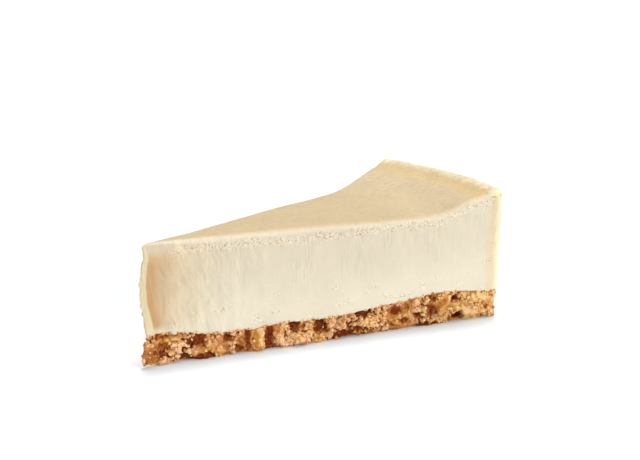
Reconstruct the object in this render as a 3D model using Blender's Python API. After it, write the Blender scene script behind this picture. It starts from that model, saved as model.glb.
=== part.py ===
"""A slice of baked cheesecake, one twelfth of a round cake: the filling, on its biscuit crumb base.

Metres, +Z up. The tip of the slice points to -X and the outer wall of the cake lies at +X. The
base rests on Z = 0, and the origin is under the middle of the slice. Both solids start as a
block with loop cuts, which is then bent into the slice: its length runs from the tip to the
wall, its width from the cut at -Y to the cut at +Y, and its height from the base to the top.
"""

import math
import random

import bmesh
import bpy
import numpy as np
from mathutils import Matrix, Vector, noise

# The cake and the cut
CAKE_RADIUS = 0.1211
PORTIONS = 12
HALF_ANGLE = math.pi / PORTIONS
CAKE_AXIS_X = -0.0597
TIP_HALF_WIDTH = 0.00045

# Heights above the floor, each at a share of the way from the cake's axis to its wall
TOP_HEIGHTS = (
    (0.00, 0.0392),
    (0.25, 0.0392),
    (0.50, 0.0390),
    (0.65, 0.0385),
    (0.75, 0.0388),
    (0.85, 0.0413),
    (0.93, 0.0439),
    (1.00, 0.0456),
)
BASE_HEIGHTS = (
    (0.00, 0.0102),
    (0.06, 0.0097),
    (0.12, 0.0092),
    (0.19, 0.0083),
    (0.25, 0.0079),
    (0.285, 0.0075),
    (0.315, 0.0082),
    (0.35, 0.0085),
    (0.42, 0.0081),
    (0.50, 0.0083),
    (0.57, 0.0088),
    (0.63, 0.0097),
    (0.70, 0.0103),
    (0.78, 0.0115),
    (0.86, 0.0115),
    (0.93, 0.0105),
    (1.00, 0.0096),
)
LAYER_GAP = 0.0003
LAYER_BUMP_HEIGHT = 0.0003
LAYER_BUMP_SIZE = 0.013

# How far the top falls off at the very tip, between two ways from the cake's axis
TIP_DROP = 0.0008
TIP_DROP_START = -0.0012
TIP_DROP_END = 0.0022

# The rim of the top
CREST_HEIGHT = 0.0008
CREST_FROM_WALL = 0.0030
CREST_WIDTH = 0.0018
VALLEY_DEPTH = 0.0004
VALLEY_FROM_WALL = 0.0080
VALLEY_WIDTH = 0.0028
RIM_BUMP_HEIGHT = 0.0005
RIM_BUMP_SIZE = 0.008
RIM_BUMP_REACH = 0.012

# The filling's rounded edges, and the waves that the knife leaves in the cuts
EDGE_ROUND = 0.0022
EDGE_ROUND_LEAST = 0.0007
EDGE_ROUND_SHARE = 0.45
CUT_WAVE_DEPTH = 0.00035
CUT_WAVE_SIZE = 0.016
WALL_WAVE_DEPTH = 0.0004
WALL_WAVE_SIZE = 0.011

# The fin that the knife drags out of the tip, and the hollow beside it
FIN_REACH = 0.0022
FIN_MIDDLE_Z = 0.0240
FIN_REACH_UP = 0.0072
FIN_REACH_DOWN = 0.0125
FIN_LEAST_REACH = 0.0005
FIN_RIPPLE = 0.0004
FIN_RIPPLE_SIZE = 0.0045
FIN_FLARE = 0.0004
FIN_FLARE_LENGTH = 0.0016
HOLLOW_DEPTH = 0.0013
HOLLOW_START = 0.0012
HOLLOW_DEEPEST = 0.0036
HOLLOW_END = 0.0200
HOLLOW_TOP_Z = 0.0362
HOLLOW_FULL_Z = 0.0317
HOLLOW_WIDTH_SHARE = 0.8
FAR_HOLLOW_SHARE = 0.25

# Loop cuts of the filling: the share of each side that a rounded edge takes, and its cells
EDGE_SHARE = 0.1
EDGE_CELLS = 3
FIN_END = 0.0045
FIN_CELLS = 5
TIP_END = 0.020
TIP_CELLS = 7
MIDDLE_END = 0.082
MIDDLE_CELLS = 16
RIM_CELLS = 14
ACROSS_CELLS = 8
UPRIGHT_CELLS = 11

# The base: where it starts beyond the cake's axis at the floor and at the top, how much thicker
# it is at the tip, and how far its foot is broken away under the tip and at the wall
BASE_START = -0.0030
BASE_START_AT_TOP = -0.0008
BASE_START_LEAN_FROM = 0.2
TIP_SWELL = 0.0003
TIP_SWELL_LENGTH = 0.006
TIP_LIFT = 0.0010
TIP_LIFT_END = 0.011
WALL_LIFT = 0.0005
WALL_LIFT_START = 0.1110

# How far the crumb stands out of the cuts at the floor, at shares of the way to the wall, and at
# the top; how far it stands out of the wall; and the share of it at the tip
POKES_AT_FLOOR = (
    (0.00, -0.0008),
    (0.05, -0.0009),
    (0.09, -0.0010),
    (0.13, 0.0000),
    (0.22, -0.0002),
    (0.30, 0.0001),
    (0.36, 0.0013),
    (0.42, 0.0016),
    (0.48, 0.0004),
    (0.60, -0.0003),
    (0.67, -0.0012),
    (0.74, -0.0012),
    (0.79, -0.0003),
    (0.86, -0.0015),
    (0.93, -0.0012),
    (1.00, -0.0014),
)
POKE_AT_TOP = 0.0002
WALL_POKE = 0.0004
TIP_POKE_SHARE = 0.6

# How deep into the base the crumb's shape reaches, and the least share of its width that is left
CRUMB_REACH = 0.008
BASE_LEAST_SHARE = 0.5

# The clumps of the crumb: the size of each kind and how deep the creases between them are. Each
# side takes its clumps from its own layer of the pattern, and the tip goes on from the near cut.
CLUMPS = (
    (0.0070, 0.0030),
    (0.0032, 0.0011),
)
CLUMP_LEVEL = 0.6
CLUMP_WARP = 0.5
CLUMP_WARP_SHIFTS = (11.3, 23.7, 37.1)
SIDE_LAYERS = {"near": 0.0, "far": 1.0, "wall": 2.0, "tip": 0.0}
CRUMB_BUMP_SIZE = 0.0024
CRUMB_BUMP_HEIGHT = 0.0004

# Hollows between the clumps in the near cut: the way from the cake's axis, the height, half the
# length and half the height. The rest of the way round has uneven ones.
NEAR_HOLLOWS = (
    (0.0049, 0.0062, 0.0014, 0.0025),
    (0.0149, 0.0060, 0.0031, 0.0020),
    (0.0257, 0.0055, 0.0008, 0.0009),
    (0.0384, 0.0043, 0.0018, 0.0039),
    (0.0471, 0.0065, 0.0020, 0.0017),
    (0.0563, 0.0055, 0.0022, 0.0028),
    (0.0640, 0.0012, 0.0035, 0.0011),
    (0.0717, 0.0079, 0.0034, 0.0016),
    (0.0829, 0.0071, 0.0020, 0.0016),
    (0.0872, 0.0083, 0.0026, 0.0020),
    (0.0911, 0.0046, 0.0015, 0.0012),
    (0.0966, 0.0060, 0.0021, 0.0050),
    (0.1052, 0.0085, 0.0016, 0.0018),
    (0.1062, 0.0020, 0.0031, 0.0014),
)
OTHER_HOLLOWS = 22
WALL_HOLLOW_EVERY = 3
HOLLOW_SEED = 11
HOLLOW_LENGTHS = (0.0012, 0.0032)
HOLLOW_HEIGHTS = (0.0012, 0.0042)
CRUMB_HOLLOW_DEPTH = 0.0030
CRUMB_HOLLOW_RISE = 0.30
CRUMB_HOLLOW_EDGE = 1.35
CRUMB_HOLLOW_WARP = 0.8
CRUMB_HOLLOW_WARP_SIZE = 0.0022

# A smooth slab that stands upright in the near cut, and a bulge low down
SLAB_START = 0.0305
SLAB_END = 0.0364
SLAB_LOW = -0.0008
SLAB_HIGH = 0.0012
SLAB_BLUR = 0.0005
BULGE_ALONG = 0.0200
BULGE_LENGTH = 0.0045
BULGE_HEIGHT = 0.0030
BULGE_POKE = 0.0014

# Loop cuts of the base, which are thinned out where it is smooth
BASE_LENGTH_CELLS = 120
BASE_ACROSS_CELLS = 54
BASE_UPRIGHT_CELLS = 10
BASE_TRIANGLES = 8000

# Colours, each as linear red, green and blue
FILLING_COLOUR = (0.83, 0.74, 0.57)
CRUMB_COLOUR = (0.52, 0.25, 0.09)
FILLING_ROUGHNESS = 0.5
CRUMB_ROUGHNESS = 0.85


def clear_scene():
    """Empties the file of the objects and collections that it opened with."""
    for item in list(bpy.data.objects):
        bpy.data.objects.remove(item, do_unlink=True)
    for group in list(bpy.data.collections):
        bpy.data.collections.remove(group)


def new_collection(name):
    """A collection in the scene."""
    group = bpy.data.collections.new(name)
    bpy.context.scene.collection.children.link(group)
    return group


def food_material(name, colour, roughness):
    """A plain food surface."""
    material = bpy.data.materials.new(name)
    material.use_nodes = True
    shader = material.node_tree.nodes["Principled BSDF"]
    shader.inputs["Base Color"].default_value = (*colour, 1.0)
    shader.inputs["Roughness"].default_value = roughness
    shader.inputs["Metallic"].default_value = 0.0
    return material


def smooth_through(points, share):
    """The heights at shares of the radius, on a smooth curve through the given points."""
    places, heights = np.array(points).T
    slopes = np.gradient(heights, places)
    share = np.clip(share, 0.0, 1.0)
    left = np.clip(np.searchsorted(places, share, side="right") - 1, 0, len(places) - 2)
    span = places[left + 1] - places[left]
    t = (share - places[left]) / span
    start = (2 * t**3 - 3 * t**2 + 1) * heights[left] + (t**3 - 2 * t**2 + t) * span * slopes[left]
    end = (3 * t**2 - 2 * t**3) * heights[left + 1] + (t**3 - t**2) * span * slopes[left + 1]
    return start + end


def smooth_step(start, end, value):
    """0 before start, 1 after end, and a smooth change between them."""
    t = np.clip((value - start) / (end - start), 0.0, 1.0)
    return t * t * (3.0 - 2.0 * t)


def bell(middle, width, value):
    """1 at the middle, falling off evenly on both sides."""
    return np.exp(-(((value - middle) / width) ** 2))


def bumps(x, y, z, size):
    """Smooth uneven values from about -1 to 1, with bumps of the given size."""
    spots = np.stack(np.broadcast_arrays(x, y, z), axis=-1).reshape(-1, 3) / size
    values = np.array([noise.noise(Vector(spot)) for spot in spots])
    return values.reshape(np.broadcast(x, y, z).shape)


def half_width(along):
    """Half the slice's width at a way from the cake's axis, never quite nothing at the tip."""
    straight = along * math.sin(HALF_ANGLE)
    return 0.5 * (straight + np.sqrt(straight**2 + 4.0 * TIP_HALF_WIDTH**2))


def bend(along, across, half):
    """The X of a point: rows across the slice are arcs about the cake's axis."""
    return CAKE_AXIS_X + along * np.cos(HALF_ANGLE * np.clip(across / half, -1.0, 1.0))


def layer_height(along, across):
    """The height at which the base ends and the filling begins."""
    smooth = smooth_through(BASE_HEIGHTS, along / CAKE_RADIUS)
    return smooth + LAYER_BUMP_HEIGHT * bumps(along, across, 0.0, LAYER_BUMP_SIZE)


def top_height(along, across):
    """The height of the top, with its raised rim, the valley inside it and uneven bumps."""
    from_wall = CAKE_RADIUS - along
    height = smooth_through(TOP_HEIGHTS, along / CAKE_RADIUS)
    height = height + CREST_HEIGHT * bell(CREST_FROM_WALL, CREST_WIDTH, from_wall)
    height = height - VALLEY_DEPTH * bell(VALLEY_FROM_WALL, VALLEY_WIDTH, from_wall)
    height = height - TIP_DROP * (1.0 - smooth_step(TIP_DROP_START, TIP_DROP_END, along))
    near_rim = 1.0 - smooth_step(0.0, RIM_BUMP_REACH, from_wall)
    return height + RIM_BUMP_HEIGHT * near_rim * bumps(along, across, 1.0, RIM_BUMP_SIZE)


def even_cuts(start, end, cells):
    """Places that divide a stretch into cells, with its end but without its start."""
    return [start + (end - start) * step / cells for step in range(1, cells + 1)]


def sliced_block(cuts):
    """A block from 0 to 1 each way, with loop cuts at the given places on each axis."""
    block = bmesh.new()
    bmesh.ops.create_cube(block, size=1.0, matrix=Matrix.Translation((0.5, 0.5, 0.5)))
    for axis, places in enumerate(cuts):
        normal = Vector((0.0, 0.0, 0.0))
        normal[axis] = 1.0
        for place in places:
            geometry = block.verts[:] + block.edges[:] + block.faces[:]
            bmesh.ops.bisect_plane(
                block, geom=geometry, dist=1e-6, plane_co=normal * place, plane_no=normal
            )
    return block


def block_shares(block):
    """The block's own coordinates of its points, from 0 to 1, as three arrays."""
    return np.array([vert.co[:] for vert in block.verts]).T


def finish_object(name, block, points, material, collection):
    """Moves the block's points to their places and makes the object."""
    for vert, point in zip(block.verts, points):
        vert.co = point
    bmesh.ops.recalc_face_normals(block, faces=block.faces[:])
    mesh = bpy.data.meshes.new(name)
    block.to_mesh(mesh)
    block.free()
    mesh.materials.append(material)
    item = bpy.data.objects.new(name, mesh)
    collection.objects.link(item)
    return item


def edge_part(share):
    """How far a point lies into the rounded edge at each end: -1 to 0 to 1."""
    beyond = np.abs(2.0 * share - 1.0) - (1.0 - 2.0 * EDGE_SHARE)
    return np.sign(share - 0.5) * np.clip(beyond / (2.0 * EDGE_SHARE), 0.0, 1.0)


def inner_part(share):
    """The share of the way between the two rounded edges, from 0 to 1."""
    return np.clip((share - EDGE_SHARE) / (1.0 - 2.0 * EDGE_SHARE), 0.0, 1.0)


def fin_edge(height):
    """How far the tip's edge lies from the cake's axis: the fin bows out beyond it."""
    spread = np.where(height > FIN_MIDDLE_Z, FIN_REACH_UP, FIN_REACH_DOWN)
    bow = FIN_REACH * bell(FIN_MIDDLE_Z, spread, height)
    ripple = FIN_RIPPLE * bumps(0.0, 0.0, height, FIN_RIPPLE_SIZE)
    return -(np.maximum(bow, FIN_LEAST_REACH) + ripple)


def tip_hollow(along, height):
    """The depth of the hollow that the knife scoops beside the fin, whose bow it follows."""
    from_edge = along - fin_edge(height)
    rise = smooth_step(HOLLOW_START, HOLLOW_DEEPEST, from_edge)
    fade = 1.0 - smooth_step(HOLLOW_DEEPEST, HOLLOW_END, from_edge)
    below_top = 1.0 - smooth_step(HOLLOW_FULL_Z, HOLLOW_TOP_Z, height)
    depth = HOLLOW_DEPTH * rise * fade * below_top
    return np.minimum(depth, HOLLOW_WIDTH_SHARE * half_width(along))


def filling_cuts():
    """Loop cuts of the filling: fine at the tip, at the rim and in the rounded edges."""
    inner_length = 1.0 - 2.0 * EDGE_SHARE
    fin_share = EDGE_SHARE + inner_length * FIN_END / CAKE_RADIUS
    tip_share = EDGE_SHARE + inner_length * TIP_END / CAKE_RADIUS
    middle_share = EDGE_SHARE + inner_length * MIDDLE_END / CAKE_RADIUS
    far_edge = 1.0 - EDGE_SHARE
    length = even_cuts(0.0, EDGE_SHARE, 1)
    length += even_cuts(EDGE_SHARE, fin_share, FIN_CELLS)
    length += even_cuts(fin_share, tip_share, TIP_CELLS)
    length += even_cuts(tip_share, middle_share, MIDDLE_CELLS)
    length += even_cuts(middle_share, far_edge, RIM_CELLS)
    length += even_cuts(far_edge, 1.0, EDGE_CELLS)[:-1]
    width = even_cuts(0.0, EDGE_SHARE, EDGE_CELLS)
    width += even_cuts(EDGE_SHARE, far_edge, ACROSS_CELLS)
    width += even_cuts(far_edge, 1.0, EDGE_CELLS)[:-1]
    height = even_cuts(0.0, far_edge, UPRIGHT_CELLS)
    height += even_cuts(far_edge, 1.0, EDGE_CELLS)[:-1]
    return length, width, height


def edge_turn(edges):
    """The factor that bends the block's square edges round: 1 away from the edges."""
    size = np.linalg.norm(edges, axis=0)
    return np.abs(edges).max(axis=0) / np.where(size > 0.0, size, 1.0)


def side_shift(along, across, half, z):
    """How far points move to +Y: the fin's flare, the hollow and the waves of the knife."""
    near = 0.5 * (1.0 - np.clip(across / half, -1.0, 1.0))
    hollow = tip_hollow(along, z)
    flare = FIN_FLARE * bell(0.0, FIN_FLARE_LENGTH, along - fin_edge(z))
    inside = CUT_WAVE_DEPTH * smooth_step(0.0, HOLLOW_END, along)
    near_wave = inside * bumps(along, 0.0, z, CUT_WAVE_SIZE)
    far_wave = inside * bumps(along, 1.0, z, CUT_WAVE_SIZE)
    return near * (hollow + near_wave) - (1.0 - near) * (FAR_HOLLOW_SHARE * hollow + far_wave) - flare


def filling_points(shares):
    """Bends the block into the filling: rounded edges, raised rim, fin, hollow and waves."""
    length, width, upright = shares
    edge_length = edge_part(length)
    edge_width = edge_part(width)
    edge_up = np.maximum(edge_part(upright), 0.0)
    turn = edge_turn(np.stack([edge_length, edge_width, edge_up]))

    tip_floor = BASE_HEIGHTS[0][1]
    tip_round = EDGE_ROUND_SHARE * TIP_HALF_WIDTH
    start = tip_round + fin_edge(tip_floor + upright * (TOP_HEIGHTS[0][1] - tip_floor))
    reach = CAKE_RADIUS - EDGE_ROUND
    end_round = np.where(length < 0.5, tip_round, EDGE_ROUND)
    along = start + (reach - start) * inner_part(length) + end_round * edge_length * turn

    half = half_width(along)
    side_round = np.minimum(EDGE_ROUND, EDGE_ROUND_SHARE * half)
    across = (half - side_round) * (2.0 * inner_part(width) - 1.0) + side_round * edge_width * turn

    top_round = np.clip(side_round, EDGE_ROUND_LEAST, EDGE_ROUND)
    floor = layer_height(along, across) + 0.5 * LAYER_GAP
    ceiling = top_height(along, across) - top_round
    inner_up = np.clip(upright / (1.0 - EDGE_SHARE), 0.0, 1.0)
    z = floor + (ceiling - floor) * inner_up + top_round * edge_up * turn

    at_wall = smooth_step(CAKE_RADIUS - 2.0 * EDGE_ROUND, CAKE_RADIUS, along)
    x = bend(along, across, half)
    x = x + WALL_WAVE_DEPTH * at_wall * bumps(along, across, z, WALL_WAVE_SIZE)
    return np.stack([x, across + side_shift(along, across, half, z), z], axis=-1)


def make_filling(material, collection):
    """The baked filling, down to the top of the base."""
    block = sliced_block(filling_cuts())
    points = filling_points(block_shares(block))
    item = finish_object("filling", block, points, material, collection)
    item.data.shade_smooth()
    return item


def clumps(along, side, z, size):
    """Rounded clumps of the given size: 0 in the creases between them, about 1 in the middle."""
    spots = np.stack(np.broadcast_arrays(along, side, z), axis=-1).reshape(-1, 3) / size
    warp = [bumps(*(spots + shift).T, 1.0) for shift in CLUMP_WARP_SHIFTS]
    spots = spots + CLUMP_WARP * np.stack(warp, axis=-1)
    gaps = [noise.voronoi(Vector(spot))[0] for spot in spots]
    depth = np.array([gap[1] - gap[0] for gap in gaps])
    return np.sqrt(np.clip(depth, 0.0, 1.0)).reshape(np.shape(along))


def other_hollows():
    """Uneven hollows for the far cut and the wall: side, place along it, height and half sizes."""
    draw = random.Random(HOLLOW_SEED)
    most = max(height for _, height in BASE_HEIGHTS)
    arc = HALF_ANGLE * CAKE_RADIUS
    hollows = []
    for number in range(OTHER_HOLLOWS):
        side = "wall" if number % WALL_HOLLOW_EVERY == 0 else "far"
        place = draw.uniform(-arc, arc) if side == "wall" else draw.uniform(0.0, CAKE_RADIUS)
        sizes = (draw.uniform(*HOLLOW_LENGTHS), draw.uniform(*HOLLOW_HEIGHTS))
        hollows.append((side, place, draw.uniform(0.0, most), *sizes))
    return hollows


def hollow_depth(side, place, z):
    """How deep the hollows of one side are, at places along it and heights."""
    hollows = [("near", *hollow) for hollow in NEAR_HOLLOWS] + other_hollows()
    warp = CRUMB_HOLLOW_WARP * bumps(place, SIDE_LAYERS[side], z, CRUMB_HOLLOW_WARP_SIZE)
    depth = np.zeros(np.shape(z))
    for owner, middle, height, half_length, half_height in hollows:
        if owner == side:
            way = warp + np.hypot((place - middle) / half_length, (z - height) / half_height)
            bowl = 1.0 - smooth_step(CRUMB_HOLLOW_RISE, CRUMB_HOLLOW_EDGE, way)
            depth = np.maximum(depth, CRUMB_HOLLOW_DEPTH * bowl)
    return depth


def with_slab(poke, place):
    """Puts the smooth slab, which leans out towards the wall, in the place of the clumps."""
    way = (place - SLAB_START) / (SLAB_END - SLAB_START)
    inside = smooth_step(-SLAB_BLUR, SLAB_BLUR, place - SLAB_START)
    inside = inside * smooth_step(-SLAB_BLUR, SLAB_BLUR, SLAB_END - place)
    return poke + inside * (SLAB_LOW + (SLAB_HIGH - SLAB_LOW) * way - poke)


def crumb_poke(side, place, z, upright):
    """How far the crumb of one side stands out of it, or lies back."""
    layer = SIDE_LAYERS[side]
    poke = CRUMB_BUMP_HEIGHT * bumps(place, layer, z, CRUMB_BUMP_SIZE)
    for size, depth in CLUMPS:
        poke = poke + depth * (clumps(place, layer, z, size) - CLUMP_LEVEL)
    if side in ("near", "far"):
        at_floor = smooth_through(POKES_AT_FLOOR, place / CAKE_RADIUS)
        poke = poke + at_floor + (POKE_AT_TOP - at_floor) * upright
    if side == "wall":
        poke = poke + WALL_POKE
    if side == "near":
        bulge = bell(BULGE_ALONG, BULGE_LENGTH, place) * bell(0.0, BULGE_HEIGHT, z)
        poke = with_slab(poke + BULGE_POKE * bulge, place)
    return poke - hollow_depth(side, place, z)


def base_points(shares):
    """Bends the block into the base, and moves its sides out and in for the clumps and hollows."""
    length, width, upright = shares
    lean = smooth_step(BASE_START_LEAN_FROM, 1.0, upright)
    start = BASE_START + (BASE_START_AT_TOP - BASE_START) * lean
    along = start + (CAKE_RADIUS - start) * length
    half = half_width(along) + TIP_SWELL * bell(BASE_START, TIP_SWELL_LENGTH, along)
    across = half * (2.0 * width - 1.0)
    lift = TIP_LIFT * (1.0 - smooth_step(BASE_START, TIP_LIFT_END, along))
    lift = lift + WALL_LIFT * smooth_step(WALL_LIFT_START, CAKE_RADIUS, along)
    z = lift + upright * (layer_height(along, across) - 0.5 * LAYER_GAP - lift)
    x = bend(along, across, half)
    y = across.copy()
    turn_sin, turn_cos = math.sin(HALF_ANGLE), math.cos(HALF_ANGLE)
    for side, way in (("near", -1.0), ("far", 1.0)):
        near = np.clip(1.0 - (half - way * across) / CRUMB_REACH, 0.0, 1.0)
        most = BASE_LEAST_SHARE * half
        moved = near * np.maximum(crumb_poke(side, along, z, upright), -most)
        x = x - moved * turn_sin
        y = y + moved * turn_cos * way
    angle = HALF_ANGLE * (2.0 * width - 1.0)
    near = np.clip(1.0 - (CAKE_RADIUS - along) / CRUMB_REACH, 0.0, 1.0)
    moved = near * crumb_poke("wall", angle * CAKE_RADIUS, z, upright)
    x = x + moved * np.cos(angle)
    y = y + moved * np.sin(angle)
    near = np.clip(1.0 - (along - start) / CRUMB_REACH, 0.0, 1.0)
    x = x - near * TIP_POKE_SHARE * crumb_poke("tip", across, z, upright)
    return np.stack([x, y, z], axis=-1)


def thin_out(item, triangles):
    """Collapses the flattest of the four-sided faces until about the given triangles are left."""
    fewer = item.modifiers.new("Fewer faces", "DECIMATE")
    fewer.ratio = triangles / (2 * len(item.data.polygons))
    fewer.use_collapse_triangulate = True
    bpy.context.view_layer.update()
    view = bpy.context.evaluated_depsgraph_get()
    made = bpy.data.meshes.new_from_object(item.evaluated_get(view))
    item.modifiers.clear()
    item.data = made


def make_crumb_base(material, collection):
    """The base of pressed biscuit crumbs, with clumps and hollows all round."""
    cells = (BASE_LENGTH_CELLS, BASE_ACROSS_CELLS, BASE_UPRIGHT_CELLS)
    block = sliced_block([even_cuts(0.0, 1.0, count)[:-1] for count in cells])
    points = base_points(block_shares(block))
    item = finish_object("crumb_base", block, points, material, collection)
    thin_out(item, BASE_TRIANGLES)


def main():
    """Builds the slice."""
    clear_scene()
    cake = new_collection("Baked cheesecake slice")
    cream = food_material("Baked filling", FILLING_COLOUR, FILLING_ROUGHNESS)
    crumb = food_material("Biscuit crumb", CRUMB_COLOUR, CRUMB_ROUGHNESS)
    make_crumb_base(crumb, cake)
    make_filling(cream, cake)


main()
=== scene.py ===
"""Finishes a cut slice of baked cheesecake: its filling, crumb base, loose grains and stage.

Metres, +Z up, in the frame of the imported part. The tip of the slice points to -X and the outer
wall of the cake lies at +X. The filling is made again from the part's own sizes with a much
finer surface, and the crumb base is made finer from the part's own solid.
"""

import math

import bmesh
import bpy
import numpy as np
from bpy.props import FloatProperty, FloatVectorProperty, IntProperty, PointerProperty
from mathutils import Matrix, Vector, noise


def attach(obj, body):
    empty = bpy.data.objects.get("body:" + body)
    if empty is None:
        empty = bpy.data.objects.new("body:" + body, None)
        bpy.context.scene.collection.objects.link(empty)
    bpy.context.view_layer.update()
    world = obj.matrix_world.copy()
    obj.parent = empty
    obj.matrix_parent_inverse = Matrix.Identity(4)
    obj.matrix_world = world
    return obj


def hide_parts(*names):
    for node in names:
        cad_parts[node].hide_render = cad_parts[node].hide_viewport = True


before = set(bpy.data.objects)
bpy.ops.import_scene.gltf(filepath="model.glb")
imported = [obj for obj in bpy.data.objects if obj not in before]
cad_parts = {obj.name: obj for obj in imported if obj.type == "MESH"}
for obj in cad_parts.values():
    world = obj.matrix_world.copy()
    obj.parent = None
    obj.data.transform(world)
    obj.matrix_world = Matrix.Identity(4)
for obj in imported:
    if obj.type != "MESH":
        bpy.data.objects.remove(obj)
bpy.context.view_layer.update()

bl_info = {
    "name": "Baked cheesecake slice",
    "version": (1, 0, 0),
    "blender": (4, 5, 0),
    "location": "3D View > Sidebar > Cheesecake",
    "description": "Finishes a cut slice of baked cheesecake and sets it on a pale stage",
    "category": "Mesh",
}

BODY = "root"
FILLING_NODE = "filling"
BASE_NODE = "crumb_base"
FILLING_SLOT = "filling"
CRUMB_SLOT = "crumb"

# The cake and the cut: the part's sizes, but for small changes at the tip, the rim and the near edge
CAKE_RADIUS = 0.1211
PORTIONS = 12
HALF_ANGLE = math.pi / PORTIONS
CAKE_AXIS_X = -0.0597
TIP_HALF_WIDTH = 0.00045
TOP_HEIGHTS = (
    (0.00, 0.0392), (0.25, 0.0392), (0.50, 0.0390), (0.65, 0.0385), (0.75, 0.0388),
    (0.85, 0.0413), (0.93, 0.0439), (1.00, 0.0456),
)
BASE_HEIGHTS = (
    (0.00, 0.0102), (0.06, 0.0097), (0.12, 0.0092), (0.19, 0.0083), (0.25, 0.0079), (0.285, 0.0075),
    (0.315, 0.0082), (0.35, 0.0085), (0.42, 0.0081), (0.50, 0.0083), (0.57, 0.0088), (0.63, 0.0097),
    (0.70, 0.0103), (0.78, 0.0115), (0.86, 0.0115), (0.93, 0.0105), (1.00, 0.0096),
)
LAYER_GAP = 0.0003
LAYER_BUMP_HEIGHT = 0.0003
LAYER_BUMP_SIZE = 0.013
TIP_DROP = 0.0004
TIP_DROP_START = -0.0012
TIP_DROP_END = 0.0022
CREST_HEIGHT = 0.0005
CREST_FROM_WALL = 0.0030
CREST_WIDTH = 0.0030
VALLEY_DEPTH = 0.0002
VALLEY_FROM_WALL = 0.0080
VALLEY_WIDTH = 0.0028
NEAR_DIP_DEPTH = 0.0012
NEAR_DIP_ALONG = 0.0985
NEAR_DIP_LENGTH = 0.0066
NEAR_DIP_SIDE = (0.3, -0.9)
RIM_BUMP_HEIGHT = 0.0005
RIM_BUMP_SIZE = 0.008
RIM_BUMP_REACH = 0.012
EDGE_ROUND = 0.0022
EDGE_ROUND_LEAST = 0.0007
EDGE_ROUND_SHARE = 0.45
CUT_WAVE_DEPTH = 0.00035
CUT_WAVE_SIZE = 0.016
WALL_WAVE_DEPTH = 0.0004
WALL_WAVE_SIZE = 0.011
FIN_REACH = 0.0022
FIN_MIDDLE_Z = 0.0240
FIN_REACH_UP = 0.0086
FIN_REACH_DOWN = 0.0125
FIN_LEAST_REACH = 0.0005
FIN_RIPPLE = 0.0004
FIN_RIPPLE_SIZE = 0.0045
FIN_FLARE = 0.0004
FIN_FLARE_LENGTH = 0.0016
HOLLOW_DEPTH = 0.0013
HOLLOW_DEEPEST = 0.0018
HOLLOW_END = 0.0184
FIN_WIDTH_LOW = 0.0022
FIN_WIDTH_HIGH = 0.0011
FIN_NARROW_FROM = 0.0140
FIN_NARROW_TO = 0.0360
HOLLOW_TOP_Z = 0.0362
HOLLOW_FULL_Z = 0.0317
HOLLOW_WIDTH_SHARE = 0.8
FAR_HOLLOW_SHARE = 0.25

# The fine block that is bent into the filling: where each stretch ends and how many cells it has
EDGE_SHARE = 0.1
FAR_EDGE = 1.0 - EDGE_SHARE
FIN_END = 0.0045
BLOCK_STRETCHES = (
    ((EDGE_SHARE, 2), (EDGE_SHARE + (FAR_EDGE - EDGE_SHARE) * FIN_END / CAKE_RADIUS, 15),
     (FAR_EDGE, 286), (1.0, 9)),
    ((EDGE_SHARE, 9), (FAR_EDGE, 76), (1.0, 9)),
    ((0.78, 50), (FAR_EDGE, 15), (1.0, 9)),
)
UNDERSIDE_TURN = 0.5
UNDERSIDE_FACES_SHARE = 0.06

# Marks in the filling: their depths, the sizes of their noise, and the ways between which they fade
LINE_SIZE = 0.0009
LINE_LENGTH_SHARE = 14.0
WIDE_LINE_SIZE = 0.0022
WIDE_LINE_LENGTH_SHARE = 5.0
LINE_WEIGHT = 0.6
LINE_PATCH_SIZE = 0.008
LINE_PATCH_UPRIGHT = 0.6
LINE_PATCH_RANGE = (-0.2, 0.35)
LINES_OFF_AND_ON_PATCHES = (0.2, 1.0)
LINES_FROM_FOOT = (0.25, 0.55)
LINES_FROM_TIP = (0.004, 0.012)
SMEAR_SIZE = 0.0034
SMEAR_UPRIGHT = 0.45
SMEAR_DEPTH = 0.00030
SMEARS_FROM_TIP = (0.0, 0.008)
SMEARS_TO = (0.050, 0.025)
TEAR_SIZE = 0.0014
TEAR_HEIGHT = 0.0006
TEAR_SLANT = 0.25
TEAR_BEND_SIZE = 4.0 * TEAR_SIZE
TEAR_UPRIGHT = 0.3
TEARS_FROM_TIP = (0.003, 0.006)
TEARS_TO = (0.036, 0.018)
PIT_SIZE = 0.0009
FINER_PIT_SHARE = 0.45
FINER_PIT_WEIGHT = 0.4
PIT_LEVEL = 0.16
PITTED_RANGE = (0.2, 0.7)
PITS_FROM_TIP = (0.002, 0.010)
PITS_FROM_WALL = (0.002, 0.007)
BAND_BELOW_TOP = 0.0035
BAND_WIDTH = 0.0011
BAND_HALO_WIDTH = 0.0033
BAND_HALO = 0.25
BAND_WAVE = 0.0005
BAND_WAVE_SIZE = 0.007
BAND_RIPPLE = 0.00025
BAND_RIPPLE_SIZE = 0.0022
BAND_RISES = ((0.0011, 0.064, 0.078), (0.0007, 0.030, 0.012))
BAND_PATCH_SIZE = 0.0045
BAND_PATCH_RANGE = (-0.25, 0.25)
BAND_OFF_AND_ON_PATCHES = (0.62, 1.22)
WALL_PITS_FROM_WALL = 0.0036
WALL_PITS_WIDTH = 0.00066
WALL_PITS = 0.25
STRAY_PATCH_SIZE = 0.0045
STRAY_PATCH_UPRIGHT = 1.6
STRAY_PATCH_RANGE = (0.30, 0.45)
STRAY_LOW_SHARE = 0.35
STRAY_HIGH_AND_LOW = (0.4, 1.0)
STRAY_PITS = 0.7
LIP_BELOW_TOP = 0.0016
LIP_WIDTH = 0.0014
WRINKLE_SIZE = 0.0013
WRINKLE_LENGTH_SHARE = 6.0
WRINKLES_FROM_WALL = (0.040, 0.018)
WRINKLES_OFF_RIM = (0.004, 0.008)
WRINKLES_EVERYWHERE = 0.2
TOP_WAVE_SIZE = 0.011
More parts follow.
